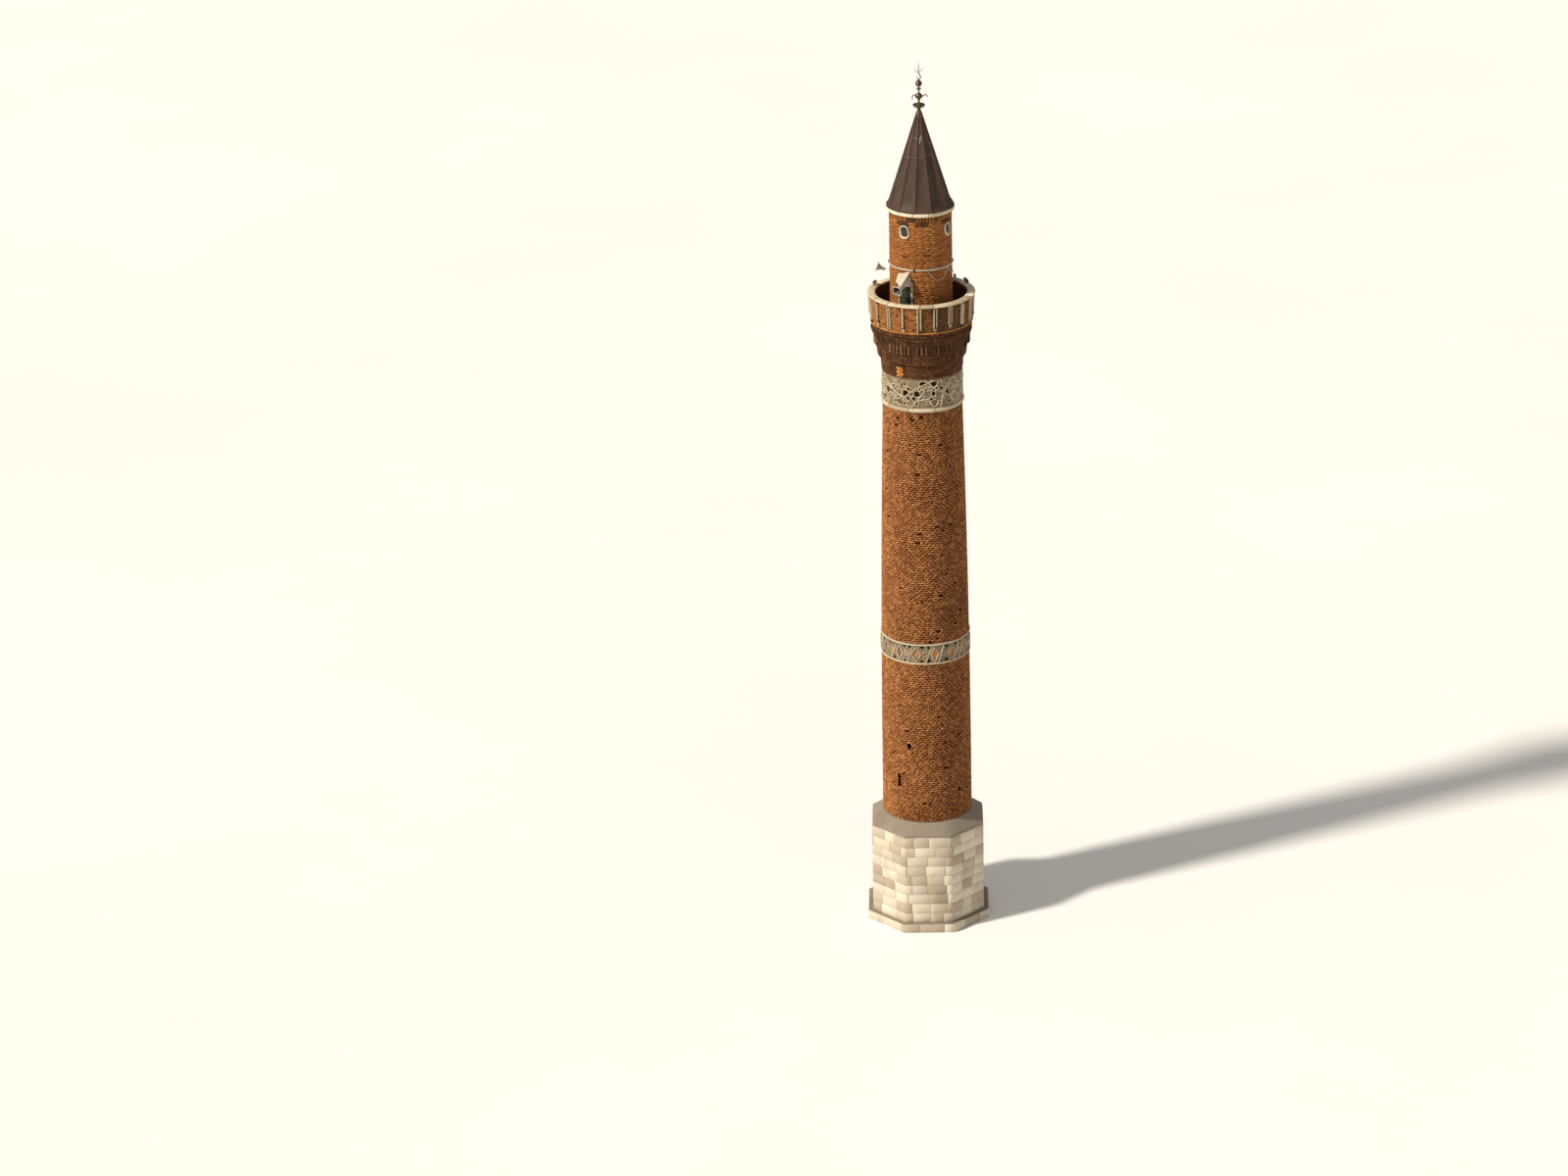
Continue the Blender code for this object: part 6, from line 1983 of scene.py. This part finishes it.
def stone_on(wall, start, end, low, high, depth=STONE_DEPTH, ease=STONE_EASE, step=9.0, tone=0.5, levels=2):
    """One stone on a wall, between two bearings and two heights, with its border set back."""
    bevel = degrees(ease / 2.0)
    parts = max(1, round((end - start) / step))
    inside = {start + bevel + (end - start - 2 * bevel) * k / parts for k in range(parts + 1)}
    inside |= {c + turn for c in CORNERS for turn in (-360, 0, 360) if start + bevel < c + turn < end - bevel}
    stops = [start, *sorted(inside), end]
    rows = [low] + [low + ease + (high - low - 2 * ease) * k / (levels - 1) for k in range(levels)] + [high]
    points = []
    for column, bearing in enumerate(stops):
        for row, height in enumerate(rows):
            border = column in (0, len(stops) - 1) or row in (0, len(rows) - 1)
            points.append(wall(bearing, height, depth - (ease * 0.8 if border else 0.0)))
    count = len(rows)
    faces = skin(count, len(stops), open_rings=True)
    rim = grid_rim(len(stops), count)
    first = len(points)
    for index in rim:
        column, row = divmod(index, count)
        points.append(wall(stops[column], rows[row], -0.004))
    for k, here in enumerate(rim):
        after = (k + 1) % len(rim)
        faces.append((rim[after], here, first + k, first + after))
    return points, faces, tone


def stone_courses(wall, low, high, courses, length, radius, opening=None):
    """Staggered courses of cut stone round the tower; opening gives half a gap in degrees."""
    stones = []
    for row in range(courses):
        foot = low + (high - low) * row / courses + 0.003
        top = low + (high - low) * (row + 1) / courses - 0.003
        gap = opening(foot) if opening else 0.0
        start = 180 + gap if gap else random.uniform(0, 20)
        total = 360 - 2 * gap
        count = round(total / degrees(length / radius))
        joints = [start + total * (k + (random.uniform(-0.16, 0.16) if 0 < k < count else 0.0)) / count
                  for k in range(count + 1)]
        for here, there in zip(joints, joints[1:]):
            stones.append(stone_on(wall, here + 0.10, there - 0.10, foot, top, tone=random.random()))
    return stones


# %% [markdown]
# ## Laying the foot
#
# The doorway on the far side is a plain pointed arch. Even stones line its jambs, and wedge-shaped
# stones make the arch: each has two corners on the inner curve and two on the outer.

# %% Stone foot
DOORWAY_HALF = 0.43
DOORWAY_SPRING = 2.15
DOORWAY_CROWN = 2.72
ARCH_RING = 0.27
PLINTH_STONES_TOP = 0.345
JAMB_STONES = 6
ARCH_STONES = 5
JAMB_PROUD = 0.034


def arch_reach(height, grown=0.0):
    """Half the width of the pointed arch, grown outward, at a height."""
    half = DOORWAY_HALF + grown
    if height <= DOORWAY_SPRING:
        return half
    rise_all = DOORWAY_CROWN + grown - DOORWAY_SPRING
    swing = (rise_all**2 + half**2) / (2 * half)
    up = height - DOORWAY_SPRING
    return sqrt(swing**2 - up**2) - (swing - half) if up < rise_all else 0.0


def doorway_gap(height):
    reach = arch_reach(height, ARCH_RING)
    return degrees(atan2(reach + 0.004, BASE_APOTHEM)) if height > BASE_FOOT - 0.1 and reach > 0 else 0.0


def back_wall_point(across, height, out):
    """A point of the flat far side, where the doorway is, seen from behind the tower."""
    return Vector((across, BASE_APOTHEM - STONE_DEPTH + out, height))


def wedge(corners, depth, ease, tone):
    """A stone with a four-sided face on the far side of the base."""
    middle = sum((Vector(corner) for corner in corners), Vector((0, 0))) / 4
    rings = ((0.0, -0.004), (0.0, depth - ease), (ease, depth))
    points = []
    for shrink, out in rings:
        for corner in corners:
            toward = (middle - Vector(corner)).normalized() * shrink * 1.4
            points.append(back_wall_point(corner[0] + toward.x, corner[1] + toward.y, out))
    return points, skin(4, 3, inside_out=True) + [(8, 9, 10, 11)], tone


base_nodes = [f"base_wall_{side}" for side in ("front", "left", "right")]
base_nodes += ["base_jamb_left", "base_jamb_right", "base_door_arch"]
set_back("base_bed", base_nodes, mortar_finish, STONE_DEPTH, beyond=2.1)
set_back("plinth_bed", ["foundation_plinth"], mortar_finish, STONE_DEPTH, beyond=2.3)
set_back("collar_bed", ["octagon_to_round_collar"], mortar_finish, STONE_DEPTH, beyond=1.6)
foot_stones = stone_courses(base_wall, BASE_FOOT, BASE_TOP, 9, 0.72, 2.25, doorway_gap)
foot_stones += stone_courses(collar_wall, BASE_TOP, COLLAR_TOP - 0.12, 1, 0.60, 2.1)
foot_stones += stone_courses(plinth_wall, 0.0, PLINTH_STONES_TOP, 1, 0.95, 2.5)
jamb_inner, jamb_outer = DOORWAY_HALF + 0.004, DOORWAY_HALF + ARCH_RING - 0.004
jamb_tall = (DOORWAY_SPRING - BASE_FOOT) / JAMB_STONES
arch_rise = DOORWAY_CROWN - DOORWAY_SPRING
grow = (arch_rise + ARCH_RING) / arch_rise
for side in (-1, 1):
    for k in range(JAMB_STONES):
        foot, top = BASE_FOOT + k * jamb_tall + 0.003, BASE_FOOT + (k + 1) * jamb_tall - 0.003
        face = [(side * jamb_inner, foot), (side * jamb_outer, foot), (side * jamb_outer, top),
                (side * jamb_inner, top)]
        foot_stones.append(wedge(face, JAMB_PROUD, 0.012, random.random()))
    for k in range(ARCH_STONES):
        low, high = (arch_rise * sin(pi / 2 * (k + end) / ARCH_STONES) for end in (0, 1))
        inner_low, inner_high = DOORWAY_SPRING + low, DOORWAY_SPRING + high
        outer_low, outer_high = DOORWAY_SPRING + low * grow, DOORWAY_SPRING + high * grow
        face = [
            (side * (arch_reach(inner_low) + 0.004), inner_low + 0.004),
            (side * (arch_reach(outer_low, ARCH_RING) - 0.004), outer_low + 0.004),
            (side * (arch_reach(outer_high, ARCH_RING) + 0.003), outer_high - 0.004),
            (side * (arch_reach(inner_high) + 0.003), inner_high - 0.004),
        ]
        foot_stones.append(wedge(face, JAMB_PROUD, 0.012, random.random()))
add_piece("foot_stones", foot_stones, stone_finish, sharp=40)
collar_ring = half_round(1.60, 1.798, COLLAR_TOP - 0.118, COLLAR_TOP - 0.002, flat=0.5)
ring_of_stones("collar_ring_stones", collar_ring, 16, 4, stone_finish, (), uneven=0.15, gap=0.2)

# %% [markdown]
# ## What stays of the solid model
#
# The balcony deck is covered by nothing, so it keeps its own mesh and gets the stone finish.

# %% Carried-over solids
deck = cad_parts["balcony_deck"]
deck.data.materials.clear()
deck.data.materials.append(coping_finish)
print("deck keeps its own mesh")
